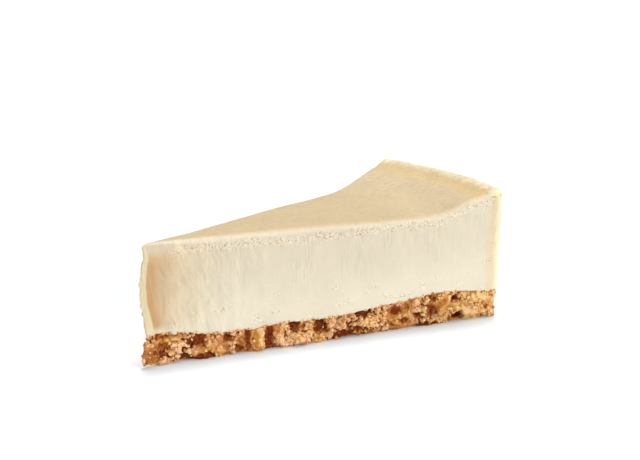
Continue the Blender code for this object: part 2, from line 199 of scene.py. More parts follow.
TOP_WAVE_HEIGHT = 0.00010
RIM_LUMP_SIZE = 0.0020
RIM_LUMP_HEIGHT = 0.00030
RIM_REACH = (0.002, 0.008)
WALL_MARK_SIZE = 0.0014
WALL_MARK_HEIGHT = 0.00006
RAGGED_SIZE = 0.0013
RAGGED_LEAST = -0.3
RAGGED_HEIGHT = 0.0006
RAGGED_TIP_HEIGHT = 0.0018
RAGGED_TIP_REACH = 0.012
RAGGED_REACH = 0.0009
RAGGED_TURN = (0.0, 0.5)
FIN_FINE_RIPPLE = 0.00050
FIN_FINE_RIPPLE_SIZE = 0.0014
STROKE_TURN = math.radians(-32.0)

# The painted shade in the hollow beside the fin: its start and width, and the heights between which it fades
HOLLOW_SHADE_START = (-0.0003, 0.0009)
HOLLOW_SHADE_WIDTH = 0.0050
HOLLOW_SHADE_WIDER = 0.0024
HOLLOW_SHADE_WIDER_Z = (0.0150, 0.0245)
HOLLOW_SHADE_TOP_Z = (0.0385, 0.0300)
HOLLOW_SHADE_FOOT_Z = (0.0100, 0.0135)
HOLLOW_SHADE_LOW_MORE = 0.16
HOLLOW_SHADE_LOW_Z = (0.0180, 0.0250)
HOLLOW_SHADE_STREAK_SIZE = 0.0016
HOLLOW_SHADE_STREAK_UPRIGHT = 0.2
HOLLOW_SHADE_STREAK_MIDDLE = 0.95
HOLLOW_SHADE_STREAK_SWING = 0.12
HOLLOW_SHADE_STRENGTH = 0.94

# Two faint warm patches: the strength, and the ways along and the heights between which each one fades
WARM_PATCHES = (
    (0.16, 0.020, 0.003, 0.0290, 0.0350),
    (0.05, 0.050, 0.020, 0.0240, 0.0330),
)

# Where each finish of the filling lies: between two ways, two heights or two turns of the surface
BAKED_FROM_NEAR_CUT = (0.0003, 0.0011)
BAKED_LESS_AT_TIP = (0.0003, 0.0007)
BAKED_FROM_FAR_CUT = (0.0004, 0.0012)
BAKED_TIP_REACH = 0.045
BAKED_TURN = (0.35, 0.75)
LIP_TURN = (0.06, 0.45)
CREST_REACH = (0.0064, 0.0022)
CREST_WAVE = 0.0012
CREST_WAVE_SIZE = 0.004
CREST_PATCH_SIZE = 0.0024
CREST_PATCH_MIDDLE = 0.78
CREST_PATCH_SWING = 0.5
CREST_TURN = (0.2, 0.6)
VALLEY_TINT_WIDTH = 0.0036
WALL_STRIP_REACH = (0.0034, 0.0016)
WALL_STRIP_WAVE = 0.0007
WALL_STRIP_WAVE_SIZE = 0.0035
WALL_STRIP_TURN = (0.3, 0.8)
WALL_TURN = (0.15, 0.75)
RIND_REACH = (0.0066, 0.0046)
RIND_WAVE = 0.0014
RIND_WAVE_SIZE = 0.0045
RIND_STRENGTH = 0.4
TAN_FROM_TIP = (0.026, 0.007)
TAN_WAVE = 0.003
TAN_WAVE_SIZE = 0.006
TAN_TOP_Z = (0.0390, 0.0330)
TAN_FOOT_Z = (0.0095, 0.0150)
TAN_STRENGTH = 0.38
PALE_SMEAR_SIZE = 0.0030
PALE_SMEAR_UPRIGHT = 0.4
PALE_SMEAR_END = (0.02, 0.055)
PALE_AT_WALL = 0.4
PALE_AT_WALL_ALONG = (0.060, 0.115)
BACK_REACH = (0.045, 0.015)
NEAR_CUT_TURN = (0.2, 0.8)
FIN_TINT_REACH = (0.0006, -0.0002)

# Tints that the filling's pits (a warm painted shade), its wall and the crumb are multiplied by
PIT_SHADE_TINT = (0.80, 0.66, 0.46)
WALL_LOW_TINT = (1.0, 1.06, 1.17)
CRUMB_PINK = (1.0, 0.97, 0.94)
CRUMB_GOLD = (1.0, 0.98, 0.74)

# The materials: ramps, as two values and the two that they become, and the values of each finish
NOISE_RANGE = (0.3, 0.7)
CUT_TONE_RAMP = (0.18, 0.62)
STREAKS_HIGH_RAMP = (0.25, 0.6)
STREAKS_OFF_WALL_RAMP = (0.0, 0.8, 1.0, 0.0)
STREAK_PATCH_RAMP = (0.42, 0.62, 0.1, 1.0)
STROKE_PATCH_RAMP = (0.47, 0.64, 0.05, 1.0)
PITTED_RAMP = (0.25, 0.9, 0.10, 1.25)
HOLE_RAMP = (0.44, 0.34)
HOLE_STRENGTH_RAMP = (0.1, 0.9)
CREAM_ROUGHNESS = (0.46, 0.6)
CRUMB_TONE_RAMP = (0.55, 1.45)
CRUMB_MOTTLE_RAMP = (0.46, 0.66, 0.0, 0.36)
CRUMB_DEEP_RAMP = (0.1, 1.0, 0.0, 0.55)
CRUMB_ROUGHNESS = (0.6, 0.9)
SPECK_MIDDLE = 0.45
SMEAR_TONE = 0.10
STREAK_RELIEF = 3.0
RELIEF_STRENGTH = 0.8
FILLING_RELIEF_DEPTH = 0.00030
CRUMB_RELIEF_DEPTH = 0.00020
FLOOR_CLOUD_TONE = 0.995
FILLING_FINISH = {
    "Specular IOR Level": 0.35,
    "Subsurface Weight": 0.2,
    "Subsurface Radius": (1.0, 0.7, 0.4),
    "Subsurface Scale": 0.0006,
}
CRUMB_FINISH = {"Specular IOR Level": 0.12}
FLOOR_FINISH = {"Specular IOR Level": 0.1, "Roughness": 0.9}

# The fine crumb base: its clumps, the grains on it, its broken foot and its filled hollows
BASE_VOXEL = 0.00027
FACET_SMOOTHING_STEPS = 12
CRAG_SIZE = 0.0040
CRAG_HEIGHT = 0.0006
CLUMP_SIZE = 0.0034
CLUMP_HEIGHT = 0.0015
CLUMP_LEVEL = 0.6
LUMP_SIZE = 0.0017
LUMP_HEIGHT = 0.0008
LUMP_LEVEL = 0.55
CLUMP_WARP = 0.45
CLUMP_WARP_SHIFTS = (5.1, 13.7, 29.3)
LEAST_WAY = 1e-6
GRAIN_CELL_SIZE = 0.0010
GRAIN_CELL_HEIGHT = 0.00050
GRAIN_CELL_LEVEL = 0.4
SMOOTH_PATCH_SIZE = 0.0055
ROUGH_RANGE = (-0.2, 0.15)
ROUGH_OFF_AND_ON_PATCHES = (0.4, 1.0)
DARK_SPOT_SMOOTHER = 0.3
SMOOTH_SPOT_SMOOTHER = 0.95
CRAGS_ON_SMOOTH_AND_ROUGH = (0.3, 1.0)
WALL_PART = (0.092, 0.102)
WALL_SMOOTHER = 0.35
WALL_GRAINS_FEWER = 0.65
GOLD_PATCH_SIZE = 0.0042
GOLD_PATCH_SHIFT = 0.09
GOLD_RANGE = (0.02, 0.28)
GOLD_AT_WALL_ALONG = (0.088, 0.100)
GOLD_STRENGTH = 0.8
LINE_CRUMBS = 380
LINE_CRUMB_RADII = (0.00016, 0.00042)
LINE_CRUMB_LOW = -0.0002
LINE_CRUMB_HIGH = 0.0007
LINE_CRUMB_FROM_WALL = 0.0010
LINE_CRUMB_STEEPEST = 0.6
GRAINS_INSIDE = 0.0034
GRAINS_STEEPEST = 0.85
GRAINS_LOWEST = 0.0003
GRAIN_PATCHES = (-0.2, 0.2)
GRAINS_OFF_PATCHES = 0.06
GRAINS_ON_SMOOTH = 0.02
GRAIN_TONES = (0.2, 0.6)
GRAINS_ON_DARK = 0.05
GRAINS_FADE_INSIDE = (-0.0008, 0.0022)
GRAINS_AT_FACE = 1.1
GRAIN_STRETCH = (0.45, 1.40)
GRAIN_JITTER = 0.28
GRAIN_LIFT = 0.25
GRAIN_SIZE_POWER = 2.2
GRAIN_SEED = 5
BRIGHT_GRAIN_SHARE = 0.4
BRIGHT_GRAIN_TONES = (1.0, 1.4)
DULL_GRAIN_TONES = (0.40, 0.90)
GRAIN_DEEP_INSIDE = (0.0008, 0.0030)
BASE_INSIDE = 0.0052
BASE_FADE = 0.0040
INSIDE_FACES_SHARE = 0.03
FOOT_HEIGHT = 0.0022
FOOT_CUT = 0.0005
FOOT_CUT_RANGE = (-0.3, 0.3)
FOOT_CUT_OFF_WALL = (0.0, 0.004)
FOOT_CUT_OFF_TIP = (0.115, 0.110)
FOOT_LIFT = 0.0007
FOOT_LIFT_INSIDE = 0.0040
FOOT_LIFT_Z = 0.0030
FOOT_NOTCHES = ((0.0105, 0.0028), (0.0265, 0.0024), (0.0490, 0.0034), (0.0655, 0.0040), (0.1060, 0.0040))
TIP_CUT = 0.0007
TIP_CUT_FROM_WALL = (0.107, 0.113)
TIP_CUT_Z = (0.0076, 0.0090)
TIP_BULGE = 0.0004
TIP_BULGE_ALONG = 0.004
TIP_BULGE_Z = 0.0055
TIP_BULGE_REACH = 0.0030
HOLLOW_KEPT = 0.0009
HOLLOW_FILL = 0.62
HOLLOW_FILL_REACH = 0.0026
HOLLOW_FILL_END = 0.0082
HOLLOW_FILL_EASE = 0.002
WALL_HOLLOW_KEPT = 0.0008
WALL_FILL = 0.6
WALL_FILL_REACH = 0.0016
WALL_FILL_END = 0.0060
WALL_CALM_REACH = 0.0040
WALL_CALM_SHARE = 0.6

# The upright slab in the near cut: its way from the tip, and how wide its tint and its bare face are
SLAB_PLACE = 0.0338
SLAB_TINT_WIDTH = 0.0022
SLAB_BARE_WIDTH = 0.0020
SLAB_BARE = 0.95

# Spots in the near cut of the base: place from the tip, height, and half their length and height. The dark
# spots are painted shade in hollows of the cut, where the crumb is darker too
DARK_SPOTS = (
    (0.0044, 0.0057, 0.0014, 0.0026),
    (0.0116, 0.0010, 0.0018, 0.0012),
    (0.0143, 0.0063, 0.0034, 0.0018),
    (0.0169, 0.0004, 0.0030, 0.0012),
    (0.0254, 0.0049, 0.0012, 0.0010),
    (0.0276, 0.0018, 0.0012, 0.0012),
    (0.0312, 0.0050, 0.0008, 0.0030),
    (0.0383, 0.0040, 0.0018, 0.0038),
    (0.0472, 0.0064, 0.0014, 0.0013),
    (0.0557, 0.0060, 0.0017, 0.0018),
    (0.0644, 0.0010, 0.0040, 0.0011),
    (0.0702, 0.0023, 0.0023, 0.0012),
    (0.0714, 0.0078, 0.0028, 0.0015),
    (0.0824, 0.0068, 0.0024, 0.0018),
    (0.0862, 0.0030, 0.0015, 0.0011),
    (0.0908, 0.0037, 0.0015, 0.0013),
    (0.0928, 0.0066, 0.0012, 0.0012),
    (0.0955, 0.0052, 0.0017, 0.0045),
    (0.1057, 0.0086, 0.0018, 0.0016),
    (0.1059, 0.0012, 0.0026, 0.0009),
)
PALE_SPOTS = (
    (0.0055, 0.0078, 0.0030, 0.0008),
    (0.0082, 0.0052, 0.0020, 0.0030),
    (0.0140, 0.0030, 0.0017, 0.0020),
    (0.0190, 0.0050, 0.0014, 0.0022),
    (0.0220, 0.0010, 0.0016, 0.0018),
    (0.0358, 0.0035, 0.0013, 0.0080),
    (0.0442, 0.0026, 0.0018, 0.0022),
    (0.0530, 0.0060, 0.0010, 0.0020),
    (0.0613, 0.0052, 0.0040, 0.0018),
    (0.0740, 0.0045, 0.0020, 0.0016),
    (0.0918, 0.0076, 0.0016, 0.0016),
    (0.0990, 0.0020, 0.0034, 0.0012),
    (0.1115, 0.0030, 0.0026, 0.0020),
)
SMOOTH_SPOTS = (
    (0.0000, 0.0034, 0.0034, 0.0050),
    (SLAB_PLACE, 0.0040, 0.0050, 0.0240),
    (0.0465, 0.0018, 0.0018, 0.0012),
    (0.0860, 0.0090, 0.0026, 0.0012),
    (0.1000, 0.0080, 0.0024, 0.0024),
)

# How much lighter or darker the base is along the near cut, at ways from the tip
CRUMB_TONES = (
    (0.000, -0.20), (0.006, -0.30), (0.012, -0.32), (0.020, -0.16), (0.029, -0.03), (0.034, -0.08),
    (0.037, 0.01), (0.046, 0.03), (0.054, 0.00), (0.061, -0.08), (0.073, -0.07), (0.080, 0.02),
    (0.090, 0.07), (0.097, -0.06), (0.103, 0.14), (0.109, 0.30), (0.118, 0.14),
)

# How the spots end, and how the tone of the base goes from its gaps to its tops: painted shade in the gaps
# and painted highlight on the tops
TIP_SIDE = 0.004
TIP_SIDE_REACH = 0.010
NEAR_SIDE_EASE = 0.0006
SPOT_EDGE = (0.3, 1.5)
SPOT_WARP = 0.9
SPOT_WARP_SIZE = 0.0028
FINER_WARP_SIZE = 0.35 * SPOT_WARP_SIZE
FINER_WARP_WEIGHT = 0.6
DARK_SPOT_DEPTH = 0.0004
DARK_BREAK_SIZE = 0.0011
DARK_BREAKS = 1.1
DARK_SPOT_TONE = 0.42
DARK_SPOT_BARE = 0.6
PALE_SPOT_TONE = 0.32
MIDDLE_TONE = 0.45
PATCH_TONE = 0.22
PATCH_TONE_SHIFT = 0.05
PROUD_RANGE = (-0.0006, 0.0005)
PROUD_MIDDLE = 0.55
PROUD_TONE = 0.4
PROUD_TONE_ROUGH = 0.8
TONE_LIMITS = (-0.15, 1.1)
DEEP_INSIDE = (0.0004, 0.0034)
LAYER_TOP_SHARE = (0.8, 0.95)
HOLLOW_SMOOTHING_STEPS = 24

# The camera: where it stands, how it is turned, and its lens
CAMERA_PLACE = (-0.1713, -0.2473, 0.1210)
CAMERA_AZIMUTH = -35.31
CAMERA_ELEVATION = 16.22
CAMERA_LENS = 53.44
CAMERA_SENSOR = 36.0
CAMERA_NEAREST = 0.01

# The floor: half its width, half the width of its fine middle, and the number of lines there
FLOOR_REACH = 20.0
FLOOR_MIDDLE = 0.13
FLOOR_LINES = 131

# The painted shadow on the floor beside the slice, cooler and darker: its reach, its side, and where it
# starts and ends
BESIDE_REACH = 0.016
BESIDE_Y = -0.002
BESIDE_START = (-0.010, 0.000)
BESIDE_END = (0.125, 0.113)

# The two lights: the turn from the front to the right, the height and the spread, in degrees
OVERHEAD_LIGHT = (112.0, 81.0, 26.0)
FRONT_LIGHT = (18.0, 22.0, 16.0)


def length_setting(name, description, default, most=0.001):
    """A setting for a length of less than a few millimetres."""
    return FloatProperty(
        name=name, description=description, default=default, min=0.0, max=most, unit="LENGTH", precision=5)


def colour_setting(name, description, default):
    """A setting for a colour, as linear red, green and blue."""
    return FloatVectorProperty(
        name=name, description=description, default=default, size=3, min=0.0, max=1.0, subtype="COLOR")


def strength_setting(name, description, default):
    """A setting for the strength of a light."""
    return FloatProperty(name=name, description=description, default=default, min=0.0, max=20.0)


class SliceSizes(bpy.types.PropertyGroup):
    """Sizes of the marks in the filling and of the crumbs."""

    line_depth: length_setting(
        "Knife line depth", "How deep the knife's drag lines are in the cuts", 0.00007)
    pit_depth: length_setting(
        "Pit depth", "How deep the small pits under the top edge are", 0.00045, most=0.002)
    lip_swell: length_setting(
        "Lip swell", "How far the smooth lip stands out along the top edge", 0.00015)
    wrinkle_height: length_setting(
        "Wrinkle height", "How high the fine wrinkles at the back of the top are", 0.00010)
    grain_count: IntProperty(
        name="Grain count", description="How many small grains stick to the crumb base",
        default=8800, min=0, max=9000)
    grain_least: length_setting("Smallest grain", "Least radius of a small grain", 0.00022)
    grain_most: length_setting("Largest grain", "Most radius of a small grain", 0.00070, most=0.002)


class SliceColours(bpy.types.PropertyGroup):
    """Colours of the slice."""

    # The lower part of the cut is painted lighter than the upper part: painted light, bounced up from the
    # floor
    cut_high: colour_setting("Cut, upper part", "Colour of the cut below the top edge", (0.68, 0.605, 0.462))
    cut_low: colour_setting("Cut, lower part", "Colour of the cut near the base", (0.75, 0.68, 0.53))
    lip: colour_setting("Lip", "Colour of the smooth lip along the top edge", (0.70, 0.61, 0.46))
    top: colour_setting("Baked top", "Colour of the baked top", (0.635, 0.495, 0.293))
    back: colour_setting("Back of the top", "Colour of the top towards the rim", (0.70, 0.555, 0.345))
    crest: colour_setting("Rim crest", "Colour of the raised rim of the top", (0.92, 0.79, 0.51))
    valley: colour_setting("Inside the rim", "Colour of the valley inside the rim", (0.72, 0.53, 0.275))
    wall: colour_setting("Outer wall", "Colour of the outer wall of the cake", (0.885, 0.725, 0.462))
    fin: colour_setting("Tip fin", "Colour of the fin at the tip", (0.69, 0.58, 0.37))
    # The tip hollow colour is painted shade, mixed into the cut beside the fin
    hollow: colour_setting("Tip hollow", "Colour in the hollow beside the tip", (0.50, 0.29, 0.115))
    # The deep crumb colour is painted shade in the gaps and crevices of the base, over crumb that is darker
    # there too
    crumb_deep: colour_setting("Crumb, deep", "Colour of the crumb in the gaps", (0.168, 0.022, 0.002))
    crumb_middle: colour_setting("Crumb, middle", "Colour of most of the crumb", (0.63, 0.275, 0.078))
    crumb_pale: colour_setting("Crumb, pale", "Colour of the palest crumbs", (0.96, 0.66, 0.39))


class StageSettings(bpy.types.PropertyGroup):
    """The floor and the light."""

    floor: colour_setting("Floor", "Colour of the pale floor", (0.97, 0.985, 0.995))
    # The floor beside the slice is painted darker and cooler: a painted shadow
    floor_painted_shadow: colour_setting(
        "Floor beside the slice", "Colour of the floor close to the slice", (0.84, 0.93, 0.99))
    surround: strength_setting("Surround", "Strength of the even white light all round", 0.40)
    overhead: strength_setting("Overhead light", "Strength of the wide soft light from above", 2.0)
    front: strength_setting("Front light", "Strength of the softer light from the front right", 1.5)


def smooth_through(points, share):
    """The heights at shares of the radius, on a smooth curve through the given points."""
    places, heights = np.array(points).T
    slopes = np.gradient(heights, places)
    share = np.clip(share, 0.0, 1.0)
    left = np.clip(np.searchsorted(places, share, side="right") - 1, 0, len(places) - 2)
    span = places[left + 1] - places[left]
    t = (share - places[left]) / span
    start = (2 * t**3 - 3 * t**2 + 1) * heights[left] + (t**3 - 2 * t**2 + t) * span * slopes[left]
    end = (3 * t**2 - 2 * t**3) * heights[left + 1] + (t**3 - t**2) * span * slopes[left + 1]
    return start + end


def smooth_step(start, end, value):
    """0 before start, 1 after end, and a smooth change between them."""
    t = np.clip((value - start) / (end - start), 0.0, 1.0)
    return t * t * (3.0 - 2.0 * t)


def between(first, second, share):
    """A value that goes from the first to the second as the share goes from 0 to 1.

    An OFF_AND_ON pair is how strong a mark is outside its patches and in them.
    """
    return first + (second - first) * share


def bell(middle, width, value):
    """1 at the middle, falling off evenly on both sides."""
    return np.exp(-(((value - middle) / width) ** 2))


def bumps(x, y, z, size):
    """Smooth uneven values from about -1 to 1, with bumps of the given size.

    A whole number in place of X, Y or Z picks one of many sets of bumps. Where the height is first
    multiplied by an UPRIGHT of less than 1, the bumps are taller than they are wide.
    """
    spots = np.stack(np.broadcast_arrays(x, y, z), axis=-1).reshape(-1, 3) / size
    values = np.array([noise.noise(Vector(spot)) for spot in spots])
    return values.reshape(np.broadcast(x, y, z).shape)


def half_width(along):
    """Half the slice's width at a way from the cake's axis, never quite nothing at the tip."""
    straight = along * math.sin(HALF_ANGLE)
    return 0.5 * (straight + np.sqrt(straight**2 + 4.0 * TIP_HALF_WIDTH**2))


def bend(along, across, half):
    """The X of a point: rows across the slice are arcs about the cake's axis."""
    return CAKE_AXIS_X + along * np.cos(HALF_ANGLE * np.clip(across / half, -1.0, 1.0))


def layer_height(along, across):
    """The height at which the base ends and the filling begins."""
    smooth = smooth_through(BASE_HEIGHTS, along / CAKE_RADIUS)
    return smooth + LAYER_BUMP_HEIGHT * bumps(along, across, 0.0, LAYER_BUMP_SIZE)


def top_height(along, across):
    """The height of the top, with its raised rim, the valley inside it and uneven bumps."""
    from_wall = CAKE_RADIUS - along
    height = smooth_through(TOP_HEIGHTS, along / CAKE_RADIUS)
    height = height + CREST_HEIGHT * bell(CREST_FROM_WALL, CREST_WIDTH, from_wall)
    height = height - VALLEY_DEPTH * bell(VALLEY_FROM_WALL, VALLEY_WIDTH, from_wall)
    height = height - TIP_DROP * (1.0 - smooth_step(TIP_DROP_START, TIP_DROP_END, along))
    near_side = smooth_step(*NEAR_DIP_SIDE, across / half_width(np.maximum(along, 0.0)))
    height = height - NEAR_DIP_DEPTH * near_side * bell(NEAR_DIP_ALONG, NEAR_DIP_LENGTH, along)
    near_rim = 1.0 - smooth_step(0.0, RIM_BUMP_REACH, from_wall)
    return height + RIM_BUMP_HEIGHT * near_rim * bumps(along, across, 1.0, RIM_BUMP_SIZE)


def edge_part(share):
    """How far a point lies into the rounded edge at each end: -1 to 0 to 1."""
    beyond = np.abs(2.0 * share - 1.0) - (1.0 - 2.0 * EDGE_SHARE)
    return np.sign(share - 0.5) * np.clip(beyond / (2.0 * EDGE_SHARE), 0.0, 1.0)


def inner_part(share):
    """The share of the way between the two rounded edges, from 0 to 1."""
    return np.clip((share - EDGE_SHARE) / (1.0 - 2.0 * EDGE_SHARE), 0.0, 1.0)


def fin_edge(height):
    """How far the tip's edge lies from the cake's axis: the fin bows out beyond it."""
    spread = np.where(height > FIN_MIDDLE_Z, FIN_REACH_UP, FIN_REACH_DOWN)
    bow = FIN_REACH * bell(FIN_MIDDLE_Z, spread, height)
    ripple = FIN_RIPPLE * bumps(0.0, 0.0, height, FIN_RIPPLE_SIZE)
    return -(np.maximum(bow, FIN_LEAST_REACH) + ripple)


def beyond_fin(along, height):
    """How far a point lies beyond the crease beside the fin, which is narrower higher up."""
    narrow = smooth_step(FIN_NARROW_FROM, FIN_NARROW_TO, height)
    return along - fin_edge(height) - FIN_WIDTH_LOW + (FIN_WIDTH_LOW - FIN_WIDTH_HIGH) * narrow


def tip_hollow(along, height):
    """The depth of the hollow that the knife scoops beside the fin."""
    beyond = beyond_fin(along, height)
    rise = smooth_step(0.0, HOLLOW_DEEPEST, beyond)
    fade = 1.0 - smooth_step(HOLLOW_DEEPEST, HOLLOW_END, beyond)
    below_top = 1.0 - smooth_step(HOLLOW_FULL_Z, HOLLOW_TOP_Z, height)
    depth = HOLLOW_DEPTH * rise * fade * below_top
    return np.minimum(depth, HOLLOW_WIDTH_SHARE * half_width(along))


def edge_turn(edges):
    """The factor that bends the block's square edges round: 1 away from the edges."""
    size = np.linalg.norm(edges, axis=0)
    return np.abs(edges).max(axis=0) / np.where(size > 0.0, size, 1.0)


def side_shift(along, across, half, z):
    """How far points move to +Y: the fin's flare, the hollow and the waves of the knife."""
    near = 0.5 * (1.0 - np.clip(across / half, -1.0, 1.0))
    hollow = tip_hollow(along, z)
    flare = FIN_FLARE * bell(0.0, FIN_FLARE_LENGTH, along - fin_edge(z))
    inside = CUT_WAVE_DEPTH * smooth_step(0.0, HOLLOW_END, along)
    near_wave = inside * bumps(along, 0.0, z, CUT_WAVE_SIZE)
    far_wave = inside * bumps(along, 1.0, z, CUT_WAVE_SIZE)
    return near * (hollow + near_wave) - (1.0 - near) * (FAR_HOLLOW_SHARE * hollow + far_wave) - flare


def filling_form(shares):
    """Bends the block into the filling. Gives its points, places and which way each one faces."""
    length, width, upright = shares
    edge_length = edge_part(length)
    edge_width = edge_part(width)
    edge_up = np.maximum(edge_part(upright), 0.0)
    edges = np.stack([edge_length, edge_width, edge_up])
    turn = edge_turn(edges)

    tip_floor = BASE_HEIGHTS[0][1]
    tip_round = EDGE_ROUND_SHARE * TIP_HALF_WIDTH
    start = tip_round + fin_edge(tip_floor + upright * (TOP_HEIGHTS[0][1] - tip_floor))
    reach = CAKE_RADIUS - EDGE_ROUND
    end_round = np.where(length < 0.5, tip_round, EDGE_ROUND)
    along = start + (reach - start) * inner_part(length) + end_round * edge_length * turn

    half = half_width(along)
    side_round = np.minimum(EDGE_ROUND, EDGE_ROUND_SHARE * half)
    across = (half - side_round) * (2.0 * inner_part(width) - 1.0) + side_round * edge_width * turn

    top_round = np.clip(side_round, EDGE_ROUND_LEAST, EDGE_ROUND)
    floor = layer_height(along, across) + 0.5 * LAYER_GAP
    ceiling = top_height(along, across) - top_round
    inner_up = np.clip(upright / (1.0 - EDGE_SHARE), 0.0, 1.0)
    z = floor + (ceiling - floor) * inner_up + top_round * edge_up * turn

    at_wall = smooth_step(CAKE_RADIUS - 2.0 * EDGE_ROUND, CAKE_RADIUS, along)
    x = bend(along, across, half)
    x = x + WALL_WAVE_DEPTH * at_wall * bumps(along, across, z, WALL_WAVE_SIZE)
    points = np.stack([x, across + side_shift(along, across, half, z), z], axis=-1)
    return points, (along, across, z, ceiling + top_round, floor), edges * turn


def stretch_cuts(stretches):
    """Places of the cuts along one side of the fine block, even within each stretch."""
    places = [0.0]
    start = 0.0
    for end, cells in stretches:
        places += [start + (end - start) * step / cells for step in range(1, cells + 1)]
        start = end
    return places


def block_side(sizes, axis, end):
    """The corner numbers of the cells on one side of a block, wound so that they face out."""
    first, second = [other for other in range(3) if other != axis]
    rows, columns = np.meshgrid(
        np.arange(sizes[first] - 1), np.arange(sizes[second] - 1), indexing="ij")
    corners = []
    for row_step, column_step in ((0, 0), (1, 0), (1, 1), (0, 1)):
        place = [None] * 3
        place[axis] = np.full(rows.shape, end)
        place[first] = rows + row_step
        place[second] = columns + column_step
        corners.append((place[0] * sizes[1] + place[1]) * sizes[2] + place[2])
    cells = np.stack(corners, axis=-1).reshape(-1, 4)
    inward = (end == 0) != (axis == 1)
    return cells[:, ::-1] if inward else cells


def block_surface(cuts):
    """The surface of a block with the given cuts: shares of its points, and its faces."""
    sizes = [len(places) for places in cuts]
    sides = [block_side(sizes, axis, end)
             for axis in range(3) for end in (0, sizes[axis] - 1)]
    numbers, faces = np.unique(np.concatenate(sides), return_inverse=True)
    first, rest = np.divmod(numbers, sizes[1] * sizes[2])
    second, third = np.divmod(rest, sizes[2])
    shares = [np.array(places)[spots] for places, spots in zip(cuts, (first, second, third))]
    return np.stack(shares), faces.reshape(-1, 4)


def mesh_object(name, points, faces):
    """An object with a mesh of the given points and faces."""
    mesh = bpy.data.meshes.new(name)
    mesh.from_pydata(points.tolist(), [], faces.tolist())
    mesh.update()
    item = bpy.data.objects.new(name, mesh)
    bpy.context.scene.collection.objects.link(item)
    return item


def read_values(items, name, kind=np.float32):
    """One number of each of a mesh's points, edges, corners or faces."""
    values = np.empty(len(items), kind)
    items.foreach_get(name, values)
    return values


def read_rows(items, name, width=3, kind=np.float32):
    """Several numbers of each of a mesh's points, edges or faces, as rows."""
    flat = np.empty(len(items) * width, kind)
    items.foreach_get(name, flat)
    return flat.reshape(-1, width)


def mesh_points(mesh):
    """The points of a mesh as rows."""
    return read_rows(mesh.vertices, "co").astype(float)


def mesh_normals(mesh):
    """The way that the surface faces at each point of a mesh, as rows."""
    return read_rows(mesh.vertices, "normal").astype(float)


def first_corners(mesh):
    """The point number at every corner of a mesh, and the place of each face's first corner."""
    corners = read_values(mesh.loops, "vertex_index", np.int32)
    return corners, read_values(mesh.polygons, "loop_start", np.int32)


def set_points(mesh, points):
    """Moves the points of a mesh."""
    mesh.vertices.foreach_set("co", points.astype(np.float32).ravel())
    mesh.update()


def keep_values(mesh, name, values):
    """Stores a value for each point, for the material to read."""
    attribute = mesh.attributes.new(name, "FLOAT", "POINT")
    attribute.data.foreach_set("value", np.asarray(values, np.float32))


def apply_modifiers(item):
    """Replaces the object's mesh with what its modifiers make of it."""
    bpy.context.view_layer.update()
    view = bpy.context.evaluated_depsgraph_get()
    made = bpy.data.meshes.new_from_object(item.evaluated_get(view))
    item.modifiers.clear()
    item.data = made


def thin_hidden(item, hidden, kept_share):
    """Collapses faces whose points are all hidden until about the given share of them is left."""
    group = item.vertex_groups.new(name="Hidden")
    group.add([int(number) for number in np.nonzero(hidden)[0]], 1.0, "REPLACE")
    corners, starts = first_corners(item.data)
    inside = np.minimum.reduceat(hidden[corners].astype(int), starts).sum()
    fewer = item.modifiers.new("Fewer hidden faces", "DECIMATE")
    fewer.ratio = 1.0 - (1.0 - kept_share) * inside / len(item.data.polygons)
    fewer.vertex_group = group.name
    fewer.use_collapse_triangulate = True
    apply_modifiers(item)
    item.vertex_groups.clear()


def knife_lines(along, side, z):
    """Fine upright lines that the knife drags in a cut."""
    fine = bumps(along, side, z / LINE_LENGTH_SHARE, LINE_SIZE)
    wide = bumps(along, side, z / WIDE_LINE_LENGTH_SHARE, WIDE_LINE_SIZE)
    patches = bumps(along, side, LINE_PATCH_UPRIGHT * z, LINE_PATCH_SIZE)
    lines = LINE_WEIGHT * fine + LINE_WEIGHT * wide
    return lines * between(*LINES_OFF_AND_ON_PATCHES, smooth_step(*LINE_PATCH_RANGE, patches))


def pit_shapes(x, y, z, size, level):
    """Small pits where the noise rises above a level."""
    rough = bumps(x, y, z, size) + FINER_PIT_WEIGHT * bumps(x, y, z, FINER_PIT_SHARE * size)
    return np.clip(rough - level, 0.0, 1.0)


def pitted_areas(along, side, z, below, up):
    """How strongly the cuts are pitted: a band under the lip, one at the wall, and stray patches."""
    from_wall = CAKE_RADIUS - along
    low = BAND_BELOW_TOP
    for rise, start, end in BAND_RISES:
        low = low - rise * smooth_step(start, end, along)
    low = low + BAND_WAVE * bumps(along, side, 0.0, BAND_WAVE_SIZE)
    low = low + BAND_RIPPLE * bumps(along, side, 1.0, BAND_RIPPLE_SIZE)
    band = bell(low, BAND_WIDTH, below) + BAND_HALO * bell(low, BAND_HALO_WIDTH, below)
    patches = smooth_step(*BAND_PATCH_RANGE, bumps(along, side, z, BAND_PATCH_SIZE))
    band = band * between(*BAND_OFF_AND_ON_PATCHES, patches)
    at_wall = bell(WALL_PITS_FROM_WALL, WALL_PITS_WIDTH, from_wall) * (below > BAND_BELOW_TOP)
    stray = bumps(along, side + 5.0, STRAY_PATCH_UPRIGHT * z, STRAY_PATCH_SIZE)
    stray = smooth_step(*STRAY_PATCH_RANGE, stray) * between(*STRAY_HIGH_AND_LOW, up < STRAY_LOW_SHARE)
    whole = np.clip(band, 0.0, 1.0) + WALL_PITS * at_wall + STRAY_PITS * stray
    return np.clip(whole, 0.0, 1.0) * smooth_step(*PITS_FROM_TIP, along)


